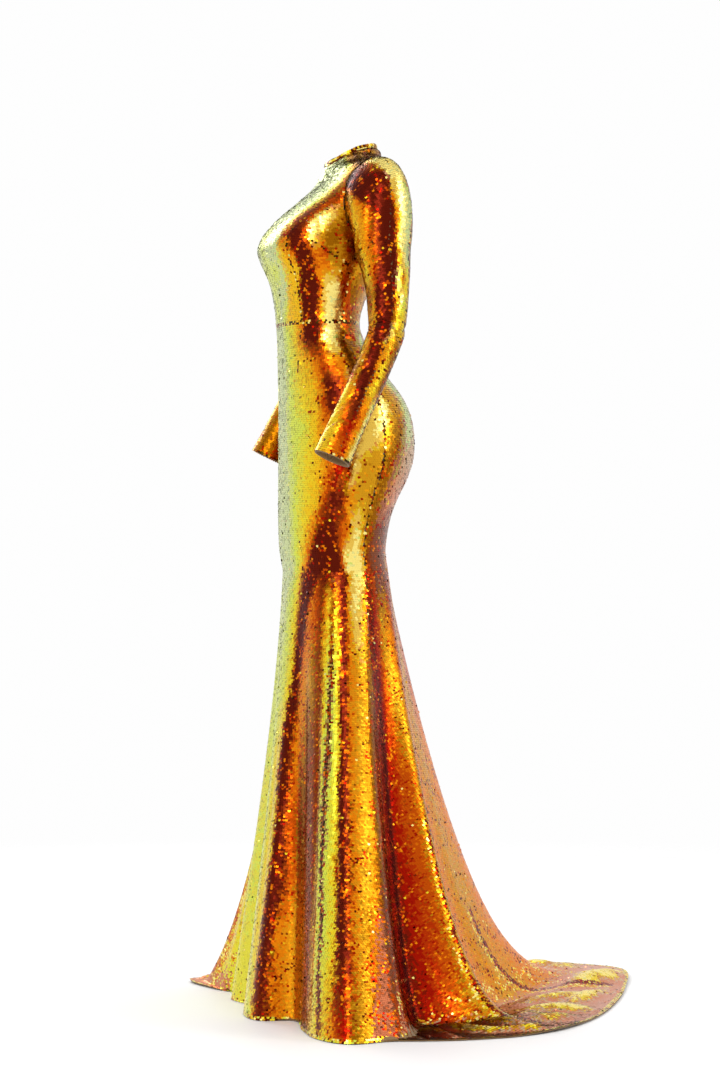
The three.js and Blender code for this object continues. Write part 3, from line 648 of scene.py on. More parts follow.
def outward_normals(surface, first, second, steps, guide=None):
    """Normals that point out of the cloth, and the way up it. A guide gives the way out where the
    surface's own order of places may turn round."""
    along = surface(first + steps[0], second) - surface(first - steps[0], second)
    up = surface(first, second + steps[1]) - surface(first, second - steps[1])
    normal = unit(np.cross(along, up))
    if guide:
        away = guide(surface(first, second))
        inward = np.sum(normal * away, axis=-1, keepdims=True) < 0
        normal = np.where(inward, -normal, normal)
    return normal, unit(up)


def with_detail(base, detail):
    """A surface moved along its own normal by a detail function."""
    def surface(first, second):
        first, second = np.broadcast_arrays(np.asarray(first, float), np.asarray(second, float))
        normals, _ = outward_normals(base, first, second, BODY_STEPS)
        return base(first, second) + normals * detail(first, second)[..., None]
    return surface


def body_detail(angle, height):
    return crease_sum(signed_angle(angle), height, BODY_CREASES, BODY_DEGREE, 1.0)


def skirt_detail(angle, level):
    run = 1 - np.minimum(level, FLARE) / FLARE
    near = (angle - FLARE_START) % 360.0 + FLARE_START
    around = angle % 360.0
    upper = crease_sum(signed_angle(angle), level, BODY_CREASES, BODY_DEGREE, 1.0)
    falls = crease_sum(near, level, FLARE_CREASES, FLARE_DEGREE, 1.0) * smoothstep(run, 0.1, 0.5)
    return upper * (level > FLARE) + falls + train_waves(around, run)


def train_waves(around, run):
    waves = crease_sum(around, run, TRAIN_WAVES, TRAIN_DEGREE, TRAIN_RUN)
    return waves * smoothstep(run, *TRAIN_RISE) * (1 - TRAIN_EDGE_DROP * smoothstep(run, *TRAIN_EDGE))


bodice_surface = with_detail(body_point, body_detail)
skirt_surface = with_detail(skirt_point, skirt_detail)


def sleeve_guide(surface, share, row):
    """The way out of a sleeve, from the point across it."""
    def guide(points):
        return points - surface(share + 0.5, row)
    return guide


def sleeve_surface(arm):
    def base(share, row):
        return sleeve_point(arm, share, row)

    def detail(share, row):
        near = share % 1.0
        total = crease_sum(near, row, SLEEVE_CREASES, SLEEVE_ROUND, SLEEVE_ROW)
        return total + crease_sum(near + 1.0, row, SLEEVE_CREASES, SLEEVE_ROUND, SLEEVE_ROW)

    def surface(share, row):
        share, row = np.broadcast_arrays(np.asarray(share, float), np.asarray(row, float))
        normals, _ = outward_normals(base, share, row, SLEEVE_STEPS, sleeve_guide(base, share, row))
        return base(share, row) + normals * detail(share, row)[..., None]
    return surface


def to_row(points):
    """Millimetres above the floor to metres in the frame."""
    moved = np.array(points, dtype=float)
    moved[..., 2] -= ORIGIN_HEIGHT
    return moved / 1000.0


# Materials.
def add_node(tree, kind, **inputs):
    node = tree.nodes.new(kind)
    for name, value in inputs.items():
        node.inputs[name.replace("_", " ")].default_value = value
    return node


def link(tree, *joins):
    """Each join is a node and its output, then a node and its input."""
    for source, output, target, entry in joins:
        tree.links.new(source.outputs[output], target.inputs[entry])


def linear(colour):
    return [((value + 0.055) / 1.055) ** 2.4 if value > 0.04045 else value / 12.92 for value in colour]


def sequin_material(name, colour):
    material = bpy.data.materials.new("sequin_" + name.replace(" ", "_"))
    material.use_nodes = True
    shader = material.node_tree.nodes["Principled BSDF"]
    shader.inputs["Base Color"].default_value = (*linear(colour), 1.0)
    shader.inputs["Metallic"].default_value = 1.0
    shader.inputs["Roughness"].default_value = 0.27
    return material


def cloth_material():
    """Knitted ground cloth under the sequins, seen between them, at the edges and inside."""
    material = bpy.data.materials.new("ground_cloth")
    material.use_nodes = True
    tree = material.node_tree
    shader = tree.nodes["Principled BSDF"]
    shader.inputs["Roughness"].default_value = 0.72
    shader.inputs["Sheen Weight"].default_value = 0.3
    place = tree.nodes.new("ShaderNodeTexCoord")
    weave = add_node(tree, "ShaderNodeTexWave", Scale=420.0, Distortion=1.5, Detail=2.0)
    patches = add_node(tree, "ShaderNodeTexNoise", Scale=38.0, Detail=3.0)
    blend = tree.nodes.new("ShaderNodeMixRGB")
    blend.inputs["Fac"].default_value = 0.35
    ramp = tree.nodes.new("ShaderNodeValToRGB")
    ramp.color_ramp.elements[0].color = (0.11, 0.055, 0.018, 1)
    ramp.color_ramp.elements[1].color = (0.33, 0.18, 0.055, 1)
    bump = add_node(tree, "ShaderNodeBump", Strength=0.25, Distance=0.0004)
    link(tree, (place, "Object", weave, "Vector"), (place, "Object", patches, "Vector"),
         (weave, "Fac", blend, "Color1"), (patches, "Fac", blend, "Color2"),
         (blend, "Color", ramp, "Fac"), (ramp, "Color", shader, "Base Color"),
         (weave, "Fac", bump, "Height"), (bump, "Normal", shader, "Normal"))
    return material


PALETTE_NAMES = list(TONES) + list(MIXES)
PALETTE = np.array([np.mean([TONES[tone] for tone in name.split()], axis=0) for name in PALETTE_NAMES])
SEQUIN_MATERIALS = [sequin_material(name, colour) for name, colour in zip(PALETTE_NAMES, PALETTE)]
GROUND_CLOTH = cloth_material()


# Meshes.
def add_object(name, mesh, materials):
    for material in materials:
        mesh.materials.append(material)
    piece = bpy.data.objects.new(name, mesh)
    bpy.context.scene.collection.objects.link(piece)
    return piece


def shell_mesh(name, grid, normals, closed):
    """A thin shell of cloth on a grid of points, with a rounded edge all round."""
    rows, columns = grid.shape[:2]
    outer = to_row(grid - normals * SHELL_FACE).reshape(-1, 3)
    inner = to_row(grid - normals * SHELL_BACK).reshape(-1, 3)
    count = rows * columns
    number = np.arange(count).reshape(rows, columns)
    ahead = np.roll(number, -1, axis=1) if closed else number[:, 1:]
    here = number if closed else number[:, :-1]
    quads = np.stack([here[:-1], ahead[:-1], ahead[1:], here[1:]], axis=-1).reshape(-1, 4)
    faces = [quads, quads[:, ::-1] + count]
    for edge_here, edge_ahead, turned in ((here[0], ahead[0], True), (here[-1], ahead[-1], False)):
        rim = np.stack([edge_here, edge_ahead, edge_ahead + count, edge_here + count], axis=-1)
        faces.append(rim[:, ::-1] if turned else rim)
    if not closed:
        for edge, turned in ((number[:, 0], False), (number[:, -1], True)):
            rim = np.stack([edge[:-1], edge[1:], edge[1:] + count, edge[:-1] + count], axis=-1)
            faces.append(rim[:, ::-1] if turned else rim)
    faces = np.concatenate(faces)
    mesh = bpy.data.meshes.new(name)
    mesh.from_pydata(np.concatenate([outer, inner]).tolist(), [], faces.tolist())
    mesh.update()
    mesh.shade_smooth()
    checked = bmesh.new()
    checked.from_mesh(mesh)
    bmesh.ops.recalc_face_normals(checked, faces=checked.faces)
    checked.to_mesh(mesh)
    checked.free()
    return mesh


SKIRT_LEVELS = np.concatenate([
    np.linspace(WAIST - 0.2, FLARE, 36, endpoint=False),
    np.linspace(FLARE, 0.0, 78),
])


def skirt_shell(node, start, end, columns):
    angles = np.linspace(start, end, columns)
    first, second = np.meshgrid(angles, SKIRT_LEVELS)
    grid = skirt_surface(first, second)
    normals, _ = outward_normals(skirt_surface, first, second, SKIRT_STEPS)
    grid[..., 2] = np.maximum(grid[..., 2], SHELL_BACK + FLOOR_GAP)
    name = "cloth_" + node
    piece = add_object(name, shell_mesh(name, grid, normals, False), [GROUND_CLOTH])
    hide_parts(node)
    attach(piece, "root")
    return piece


def sleeve_shell(node, arm, side):
    rows = np.concatenate([np.linspace(-1, 0, 16, endpoint=False), np.linspace(0, 11, 78)])
    shares = np.linspace(0, 1, 56, endpoint=False)
    first, second = np.meshgrid(shares, rows)
    surface = sleeve_surface(arm)
    grid = surface(first, second)
    normals, _ = outward_normals(surface, first, second, SLEEVE_STEPS,
                                 sleeve_guide(surface, first, second))
    flip = np.array([side, 1.0, 1.0])
    name = "cloth_" + node
    piece = add_object(name, shell_mesh(name, grid * flip, normals * flip, True), [GROUND_CLOTH])
    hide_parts(node)
    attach(piece, "root")
    return piece


def follow_creases(mesh):
    """Moves a bodice shell with the creases of its surface, so that the sequins stay on it."""
    places = np.empty(len(mesh.vertices) * 3)
    mesh.vertices.foreach_get("co", places)
    points = places.reshape(-1, 3) * 1000.0
    points[:, 2] += ORIGIN_HEIGHT
    height = points[:, 2]
    angle = body_angle(points[:, 0], points[:, 1], height)
    normals, _ = outward_normals(body_point, angle, height, BODY_STEPS)
    moved = points + normals * (body_detail(angle, height) - 0.3)[:, None]
    mesh.vertices.foreach_set("co", to_row(moved).reshape(-1))
    mesh.update()


def copied_shell(name, node, creased):
    """The shell of a bodice panel or of the binding, from its solid's own form, rounded once."""
    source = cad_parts[node]
    mesh = source.data.copy()
    mesh.name = name
    mesh.materials.clear()
    joined = bmesh.new()
    joined.from_mesh(mesh)
    bmesh.ops.remove_doubles(joined, verts=joined.verts, dist=0.00001)
    joined.to_mesh(mesh)
    joined.free()
    piece = add_object(name, mesh, [GROUND_CLOTH])
    rounding = piece.modifiers.new("rounding", "SUBSURF")
    rounding.levels = 1
    rounding.render_levels = 1
    rounded = piece.evaluated_get(bpy.context.evaluated_depsgraph_get())
    applied = bpy.data.meshes.new_from_object(rounded)
    piece.modifiers.clear()
    piece.data = applied
    applied.name = name
    if creased:
        follow_creases(applied)
    applied.shade_smooth()
    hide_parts(node)
    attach(piece, "root")
    return piece


# Sequins.
def lengths_along(line):
    return np.concatenate([[0], np.cumsum(np.linalg.norm(np.diff(line, axis=0), axis=1))])


def row_places(surface, rows, start, end, pitch, samples=420):
    """Places along each row of a surface, a pitch apart, every second row moved half a pitch."""
    firsts, seconds = [], []
    fine = np.linspace(start, end, samples)
    for number, row in enumerate(rows):
        lengths = lengths_along(surface(fine, np.full(samples, row)))
        offset = pitch * (0.25 if number % 2 else 0.75)
        at = np.arange(offset, lengths[-1] - pitch * 0.2, pitch)
        firsts.append(np.interp(at, lengths, fine))
        seconds.append(np.full(len(at), row))
    return np.concatenate(firsts), np.concatenate(seconds)


def sequin_mesh(name, centres, normals, downs, tones, random):
    """Six-sided sequins that overlap like scales, joined in one mesh."""
    count = len(centres)
    across = unit(np.cross(downs, normals))
    downs = unit(np.cross(normals, across))
    tilt = np.radians(SEQUIN["tilt"] + random.normal(0, SEQUIN["spread"], count))
    roll = np.radians(random.normal(0, SEQUIN["spread"], count))
    wild = random.random(count) < WILD["share"]
    tilt = np.where(wild, tilt + np.radians(random.normal(0, WILD["tilt"], count)), tilt)
    roll = np.where(wild, roll + np.radians(random.normal(0, WILD["roll"], count)), roll)
    down = downs * np.cos(tilt)[:, None] + normals * np.sin(tilt)[:, None]
    side = across * np.cos(roll)[:, None] + normals * np.sin(roll)[:, None]
    centres = centres + normals * (SEQUIN["lift"] + random.random(count) * 0.25)[:, None]
    turn = np.arange(6) * np.pi / 3 + np.pi / 6
    corners = (centres[:, None, :]
               + side[:, None, :] * (np.cos(turn) * SEQUIN["radius"])[None, :, None]
               + down[:, None, :] * (np.sin(turn) * SEQUIN["radius"])[None, :, None])
    corners[..., 2] = np.maximum(corners[..., 2], FLOOR_GAP)
    mesh = bpy.data.meshes.new(name)
    mesh.vertices.add(count * 6)
    mesh.loops.add(count * 6)
    mesh.polygons.add(count)
    mesh.vertices.foreach_set("co", to_row(corners).reshape(-1).astype(np.float32))
    mesh.loops.foreach_set("vertex_index", np.arange(count * 6, dtype=np.int32))
    mesh.polygons.foreach_set("loop_start", np.arange(0, count * 6, 6, dtype=np.int32))
    mesh.polygons.foreach_set("material_index", tones.astype(np.int32))
    mesh.update(calc_edges=True)
    return mesh


def add_sequins(name, centres, normals, downs, tones, seed):
    random = np.random.default_rng(seed)
    mesh = sequin_mesh(name, centres, normals, downs, tones, random)
    piece = add_object(name, mesh, SEQUIN_MATERIALS)
    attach(piece, "root")
    return piece


def read_colours(rows):
    """A colour table as heights from low to high, degrees and colours."""
    heights, degrees, colours = [], [], []
    for height, stops in sorted(rows):
        pairs = [(tone, float(degree)) for tone, *places in map(str.split, stops.split(","))
                 for degree in places]
        heights.append(height)
        degrees.append([degree for _, degree in pairs])
        colours.append([TONES[tone] for tone, _ in pairs])
    return np.array(heights, dtype=float), np.array(degrees), np.array(colours)


def colour_at(table, place, level):
    heights, degrees, colours = table
    level = np.clip(level, heights[0], heights[-1])
    row = np.clip(np.searchsorted(heights, level, side="right") - 1, 0, len(heights) - 2)
    share = ((level - heights[row]) / (heights[row + 1] - heights[row]))[:, None]
    stops = mix(degrees[row], degrees[row + 1], share)
    shades = mix(colours[row], colours[row + 1], share[..., None])
    result = shades[:, 0].copy()
    for stop in range(1, stops.shape[1]):
        step = np.maximum(stops[:, stop] - stops[:, stop - 1], 0.01)
        along = np.clip((place - stops[:, stop - 1]) / step, 0, 1)[:, None]
        result = np.where(along > 0, mix(shades[:, stop - 1], shades[:, stop], along), result)
    return result


def nearest_tones(colours, random):
    """The palette's nearest sequin to each colour, after a little unevenness."""
    bright = random.normal(1.0, 0.035, len(colours))[:, None]
    uneven = colours * bright + random.normal(0, 0.016, colours.shape)
    away = ((uneven[:, None, :] - PALETTE[None, :, :]) ** 2).sum(axis=-1)
    return away.argmin(axis=1)


def waver(points, scale, seed):
    """Slow unevenness over the cloth, from a few waves in seeded directions."""
    random = np.random.default_rng(seed)
    total = np.zeros(len(points))
    for _ in range(5):
        way = random.normal(0, 1, 3)
        way = way / np.linalg.norm(way) / scale
        total += np.sin(points @ way * 2 * np.pi + random.random() * 6.28)
    return total / 5


def pick_colours(count, names, random):
    return np.array([TONES[name] for name in names])[random.integers(0, len(names), count)]


def fleck(colours, points, random):
    """Painted glints and dark reflections on single sequins, as if turned another way: dark ones in the
    orange, warm ones in the dark, and bright ones.
    """
    count = len(colours)
    brightness = colours.mean(axis=1)
    cluster = smoothstep(waver(points, 34.0, 21), 0.05, 0.5)
    patch = smoothstep(waver(points, 26.0, 22) + 0.6 * waver(points, 11.0, 23), 0.0, 0.6)
    warm = smoothstep(FLECK["warm_below"] - brightness, 0.0, 0.15)
    dim = smoothstep(FLECK["dim_below"] - brightness, 0.0, 0.2)
    anywhere, streak, added = FLECK["dark"]
    dark = random.random(count) < anywhere + (streak + added * cluster) * dim * (1 - warm)
    streak, added = FLECK["painted_glint"]
    painted_glint = random.random(count) < (streak + added * patch) * warm
    anywhere, streak, added = FLECK["lit"]
    lit = random.random(count) < anywhere + (streak + added * cluster * patch) * dim
    for turned, names in ((dark, ("dark", "brown", "red")), (painted_glint, ("ember", "red", "ember", "orange")),
                          (lit, ("white", "yellow", "amber"))):
        colours = np.where(turned[:, None], pick_colours(count, names, random), colours)
    return colours


def seam_marks(colours, near, random):
    """Sequins pushed up beside a seam alternate between dark and bright: painted shade and painted
    highlights where raised sequins would lose or catch the light.
    """
    marks = pick_colours(len(colours), ("shade", "dark", "white", "gold", "shade", "brown"), random)
    return np.where(near[:, None], marks, colours)


def half_angle(angle):
    """Angle from the centre front on either side."""
    return np.abs(signed_angle(angle))


# Painted reflections: the colour tables round the bodice, hips and flare, with painted glints and dark
# flecks on top.
def body_colours(angle, level, points, random):
    half = half_angle(angle)
    turned_away = (signed_angle(angle) < 0) & (level < FLARE)
    pale_side = mix(FAR_SIDE["share"], 1.0, smoothstep(half, FAR_SIDE["pale_to"], FAR_SIDE["ends"]))
    blend = smoothstep(FLARE - level, 0, FAR_SIDE["blend"])
    half = np.where(turned_away, half * mix(1.0, pale_side, blend), half)
    place = half + waver(points, 90.0, 5) * 1.6 + waver(points, 22.0, 6) * 1.3
    place = place + random.normal(0, 0.9, len(place))
    tables = [read_colours(rows) for rows in (BODICE_COLOURS, HIP_COLOURS, FLARE_COLOURS)]
    level = level + random.normal(0, 3.0, len(level))
    bodice, hips, flare = (colour_at(table, place, level) for table in tables)
    colours = np.where((level > WAIST)[:, None], bodice, np.where((level > FLARE)[:, None], hips, flare))
    return fleck(colours, points, random)


def floor_colours(colours, angle, run, points, random):
    """The train on the floor: rosy brown, with painted gold where the light catches its waves, and painted
    highlights on the crumples at its foot.
    """
    plan, height, landing = flare_state(angle, run)
    reach = plan / landing
    spread = landing < FLOOR["spread"]
    lying = smoothstep(reach, *FLOOR["lying"]) * spread
    crest = train_waves(angle % 360.0, run)
    slow = waver(points, 75.0, 11)
    catch = crest / 14.0 + 0.45 * slow + 0.25 * waver(points, 22.0, 12)
    catch = catch + random.normal(0, 0.1, len(run)) - 0.3
    shades = np.array([TONES[tone] for tone in FLOOR_TONES])
    lying_colours = shades[np.searchsorted(FLOOR_LIMITS, catch)]
    turned = random.random(len(colours)) < lying
    colours = np.where(turned[:, None], lying_colours, colours)
    # Painted highlights on the crumples at the foot of the train.
    foot = smoothstep(reach, *FLOOR["foot"]) * smoothstep(FLOOR["foot_end"] - reach, 0.0, 0.14) * spread
    crumple = waver(points, 46.0, 17) + 0.6 * waver(points, 16.0, 18) + random.normal(0, 0.12, len(colours))
    bright = pick_colours(len(colours), ("yellow", "white", "gold", "orange", "ember", "white"), random)
    painted_glint = (crumple > FLOOR["crumple"]) & (random.random(len(colours)) < FLOOR["painted_glint"] * foot)
    return np.where(painted_glint[:, None], bright, colours)




def crest_lines(colours, angle, level, random):
    """Painted highlights along the crests, as if the sequins there were turned to the light, with painted
    dark lines beside them.
    """
    bright = pick_colours(len(colours), ("white", "yellow", "gold", "orange"), random)
    dark = pick_colours(len(colours), ("dark", "brown", "red"), random)
    for crest, top in CREST_LINES:
        away = (angle - crest) * FLARE_DEGREE
        shown = (level < top) & (level > CREST["low"]) & (random.random(len(colours)) < CREST["shown"])
        colours = np.where((shown & (np.abs(away) < CREST["bright"]))[:, None], bright, colours)
        beside = np.abs(away - CREST["dark_at"]) < CREST["dark"]
        colours = np.where((shown & beside)[:, None], dark, colours)
    return colours


# Painted reflections and highlights on the far front fold: ember to white patches and a lime crest.
def far_fold_colours(colours, angle, level, points, random):
    away = np.abs(signed_angle(angle) - FAR_FOLD["angle"])
    patch = waver(points, 62.0, 14) + 0.5 * waver(points, 24.0, 15) + random.normal(0, 0.12, len(colours))
    shades = np.array([TONES[tone] for tone in ("ember", "orange", "gold", "white", "pale")])
    fold = shades[np.searchsorted((-0.35, -0.12, 0.1, 0.5), patch)]
    fold = np.where((away < 1.4)[:, None], TONES["lime"], fold)
    share = FAR_FOLD["share"] * smoothstep(FAR_FOLD["spread"] - away, 0.0, 7.0)
    share = share * smoothstep(FAR_FOLD["top"] - level, 0.0, 160.0)
    return np.where((random.random(len(colours)) < share)[:, None], fold, colours)


class EvenRows:
    """Rows of the flare that lie the same way apart along every fall of the cloth."""

    def __init__(self):
        self.angles = np.arange(FLARE_START, FLARE_START + 370.0, 1.0)
        self.shares = np.linspace(0, 1, 181)
        runs = np.linspace(0, 1, 361)
        first, second = np.meshgrid(self.angles, runs, indexing="ij")
        points = flare_point(first, second)
        steps = np.linalg.norm(np.diff(points, axis=1), axis=-1)
        lengths = np.concatenate([np.zeros((len(self.angles), 1)), np.cumsum(steps, axis=1)], axis=1)
        self.lengths = lengths[:, -1]
        self.runs = np.array([np.interp(self.shares * row[-1], row, runs) for row in lengths])

    def level(self, angle, share):
        column = np.clip(angle - self.angles[0], 0, len(self.angles) - 1.001)
        row = np.clip(share * (len(self.shares) - 1), 0, len(self.shares) - 1.001)
        low_column, low_row = column.astype(int), row.astype(int)
        part, rest = column - low_column, row - low_row
        near = mix(self.runs[low_column, low_row], self.runs[low_column, low_row + 1], rest)
        far = mix(self.runs[low_column + 1, low_row], self.runs[low_column + 1, low_row + 1], rest)
        return FLARE * (1 - mix(near, far, part))

    def surface(self, angle, share):
        angle, share = np.broadcast_arrays(np.asarray(angle, float), np.asarray(share, float))
        return skirt_surface(angle, self.level(angle, share))

    def longest(self, start, end):
        chosen = (self.angles >= start) & (self.angles <= end)
        return self.lengths[chosen].max()


EVEN_ROWS = EvenRows()


def dress_skirt(names, angle, level, seed):
    """Colours the sequins of a skirt panel, in one piece or in two that meet at the centre front."""
    random = np.random.default_rng(seed)
    centres = skirt_surface(angle, level)
    normals, up = outward_normals(skirt_surface, angle, level, SKIRT_STEPS)
    run = 1 - np.minimum(level, FLARE) / FLARE
    colours = body_colours(angle, level, centres, random)
    colours = far_fold_colours(colours, angle, level, centres, random)
    colours = floor_colours(colours, angle, run, centres, random)
    colours = crest_lines(colours, angle, level, random)
    half = half_angle(angle)
    seam = np.minimum(np.abs(half - SIDE_SEAM), np.abs(half - 180.0))
    near = (seam * BODY_DEGREE < SEAM_WIDTHS["skirt"]) & (level > FLARE - 60)
    dart_angle = mix(SKIRT_DART["foot_angle"], SKIRT_DART["waist_angle"],
                     (level - SKIRT_DART["foot"]) / SKIRT_DART["tall"])
    near |= (np.abs(half - dart_angle) * BODY_DEGREE < SKIRT_DART["width"]) & (level > SKIRT_DART["foot"])
    near |= level > WAIST - SEAM_WIDTHS["waist"]
    colours = seam_marks(colours, near & (random.random(len(colours)) < 0.85), random)
    # Painted highlights along the hem: bright yellow, white, gold and amber sequins, with a few lime and
    # dark.
    hem_from = np.where(half > SIDE_SEAM, HEM_RUN["back"], HEM_RUN["front"])
    hem = (run > hem_from) & (random.random(len(run)) < 0.9)
    edge = pick_colours(len(run), ("yellow", "white", "gold", "amber", "lime", "dark"), random)
    colours = np.where(hem[:, None], edge, colours)
    tones = nearest_tones(colours, random)
    masks = [np.ones(len(angle), dtype=bool)] if len(names) == 1 else [angle < 0, angle >= 0]
    pieces = []
    for number, (name, chosen) in enumerate(zip(names, masks)):
        pieces.append(add_sequins(name, centres[chosen], normals[chosen], -up[chosen], tones[chosen],
                                  seed + 100 + number))
    return pieces


def hip_sequins(names, start, end, seed, slot):
    rows = np.arange(WAIST - 1.5, FLARE, -SEQUIN["down"])
    angle, level = row_places(skirt_surface, rows, start, end, SEQUIN["across"])
    return dress_skirt(names, angle, level, seed)


def flare_sequins(names, start, end, seed, slot):
    nearer_seam = 0.28
    start, end = start - nearer_seam, end + nearer_seam
    length = EVEN_ROWS.longest(start, end)
    shares = np.arange(0.0, 1.0 - 1.2 / length, SEQUIN["down"] * 1.04 / length)
    angle, share = row_places(EVEN_ROWS.surface, shares, start, end, SEQUIN["across"])
    return dress_skirt(names, angle, EVEN_ROWS.level(angle, share), seed)


def in_bodice(angle, height):
    """Which places are below the neckline and outside the armholes, and their half angles."""
    points = body_point(angle, height)
    inside_neck = (np.hypot(points[..., 0] / NECK["half_width"],
                            (points[..., 1] - NECK["middle"]) / NECK["half_depth"]) < 1.0)
    outside_neck = ~(inside_neck & (height > NECK["above"]))
    half = half_angle(angle)
    turn = np.arccos(np.clip((height - ARMHOLE["height"]) / ARMHOLE["half_height"], -1, 1))
    lean = ARMHOLE["lean"] * (1 - np.cos(turn)) / 2
    spread = ARMHOLE["half_depth"] * np.sin(turn)
    front = ARMHOLE["middle"] - lean - spread
    back = ARMHOLE["middle"] - lean + spread
    depth = points[..., 1]
    reach = ((height > ARMHOLE["height"] - ARMHOLE["half_height"])
             & (height < ARMHOLE["height"] + ARMHOLE["half_height"]))
    in_hole = (reach & (depth > front - ARMHOLE["margin"]) & (depth < back + ARMHOLE["margin"])
               & (np.abs(points[..., 0]) > ARMHOLE["beyond"]))
    return outside_neck & ~in_hole, half


def flat_on_top(angle, height):
    """Where the bodice's surface looks more upwards than sideways."""
    normals, _ = outward_normals(bodice_surface, angle, height, BODY_STEPS)
    return np.abs(normals[:, 2]) > 0.72


def bodice_places():
    """Rows up the body, and a staggered net seen from above where the shoulders are flat."""
    top = BODICE_ROWS["net_from"]
    fine = np.linspace(WAIST + 2.0, top, 600)
    lengths = lengths_along(bodice_surface(np.full(len(fine), 0.0), fine))
    rows = np.interp(np.arange(0, lengths[-1], SEQUIN["down"] * BODICE_ROWS["down"]), lengths, fine)
    top_rows = np.arange(top, BODICE_TOP - 2.0, SEQUIN["down"] * BODICE_ROWS["top_down"])
    rows = np.concatenate([rows, top_rows])
    angle, height = row_places(bodice_surface, rows, 0.0, 360.0, SEQUIN["across"], 900)
    kept = (height < top) | ~flat_on_top(angle, height)
    angle, height = angle[kept], height[kept]
    apart = SEQUIN["across"] * BODICE_ROWS["net_across"]
    across, deep = np.meshgrid(np.arange(-165, 165, apart),
                               np.arange(-40, 100, SEQUIN["down"] * BODICE_ROWS["net_down"]))
    across = across + (np.arange(across.shape[0]) % 2 * apart / 2)[:, None]
    across, deep = across.ravel(), deep.ravel()
    net_height = height_at(across, deep, top, BODICE_TOP - 0.2)
    net_angle = body_angle(across, deep, net_height) % 360
    found = (net_height > top + 0.5) & (net_height < BODICE_TOP - 0.5)
    found &= flat_on_top(net_angle, net_height)
    return np.concatenate([angle, net_angle[found]]), np.concatenate([height, net_height[found]])


def height_at(across, deep, low, high):
    """The height of the bodice's surface at places seen from above, by halving the range."""
    low = np.full(len(across), float(low))
    high = np.full(len(across), float(high))
    for _ in range(24):
        height = (low + high) / 2
        half_width, middle, half_depth, roundness = section_at(height)
        inside = (np.abs(across / half_width) ** roundness
                  + np.abs((deep - middle) / half_depth) ** roundness) < 1
        low = np.where(inside, height, low)
        high = np.where(inside, high, height)
    return low


def bodice_sequins():
    random = np.random.default_rng(31)
    angle, height = bodice_places()
    shown, half = in_bodice(angle, height)
    angle, height, half = angle[shown], height[shown], half[shown]
    centres = bodice_surface(angle, height)
    normals, up = outward_normals(bodice_surface, angle, height, BODY_STEPS)
    downs = -up
    colours = body_colours(angle, height, centres, random)
    princess = smooth_value(PRINCESS_SEAM, "height", "angle", height)
    near = np.zeros(len(half), dtype=bool)
    for seam, seam_angle in (("princess", princess), ("side", SIDE_SEAM)):
        beside = np.abs(half - seam_angle) * BODY_DEGREE < SEAM_WIDTHS[seam]
        near |= beside & (height < SEAM_TOPS[seam])
    near |= np.abs(half - 180.0) * 1.8 < SEAM_WIDTHS["centre_back"]
    shoulder = np.abs(centres[:, 1] - SHOULDER["depth"]) < SEAM_WIDTHS["shoulder"]
    near |= shoulder & (height > SHOULDER["height"])
    share = np.clip((half - BUST_DART["start"]) / (SIDE_SEAM - BUST_DART["start"]), 0, 1)
    dart_height = mix(BUST_DART["start_height"], BUST_DART["end_height"], share)
    in_dart = (half > BUST_DART["start"]) & (half < SIDE_SEAM)
    near |= (np.abs(height - dart_height) < BUST_DART["width"]) & in_dart
    near |= height < WAIST + SEAM_WIDTHS["waist"]
    colours = seam_marks(colours, near & (random.random(len(colours)) < 0.7), random)
    tones = nearest_tones(colours, random)
    centre = (half < princess) & ((centres[:, 1] < SHOULDER["depth"]) | (half < 60))
    side = (half >= princess) & (half < SIDE_SEAM) & (height < SEAM_TOPS["princess"] + 1)
    back = ~(centre | side)
    left = signed_angle(angle) > 0
    parts = {
        "bodice_centre_front": (centre, "sequin_front"),
        "bodice_side_front_left": (side & left, "sequin_side"),
        "bodice_side_front_right": (side & ~left, "sequin_side"),
        "bodice_back_left": (back & left, "sequin_back"),
        "bodice_back_right": (back & ~left, "sequin_back"),
    }
    return {
        name: [add_sequins("sequins_" + name, centres[chosen], normals[chosen], downs[chosen],
                           tones[chosen], 200 + number)]
        for number, (name, (chosen, slot)) in enumerate(parts.items())
    }


def sleeve_sequins(name, arm, side, seed):
    random = np.random.default_rng(seed)
    surface = sleeve_surface(arm)
    fine = np.linspace(-1, 11, 600)
    lengths = lengths_along(surface(np.full(len(fine), 0.02), fine))
    rows = np.interp(np.arange(2.0, lengths[-1] - 1.0, SEQUIN["down"]), lengths, fine)
    share, row = row_places(surface, rows, 0.0, 1.0, SEQUIN["across"])
    centres = surface(share, row)
    normals, up = outward_normals(surface, share, row, SLEEVE_STEPS, sleeve_guide(surface, share, row))
    turned = signed_angle(SLEEVE_MARKS["turned"] - share * 360.0)
    place = turned + waver(centres, 60.0, seed) * 4 + waver(centres, 20.0, seed + 1) * 3
    place = place + random.normal(0, 2.0, len(place))
    colours = fleck(colour_at(read_colours(SLEEVE_COLOURS), place, centres[:, 2]), centres, random)
    seam_away = np.abs(signed_angle(turned - SLEEVE_MARKS["seam"])) * SLEEVE_MARKS["degree"]
    near = (seam_away < SLEEVE_MARKS["width"]) | (row < SLEEVE_MARKS["head"]) | (row > SLEEVE_MARKS["cuff"])
    colours = seam_marks(colours, near & (random.random(len(colours)) < 0.6), random)
    tones = nearest_tones(colours, random)
    flip = np.array([side, 1.0, 1.0])
    return add_sequins(name, centres * flip, normals * flip, up * flip, tones, seed + 50)


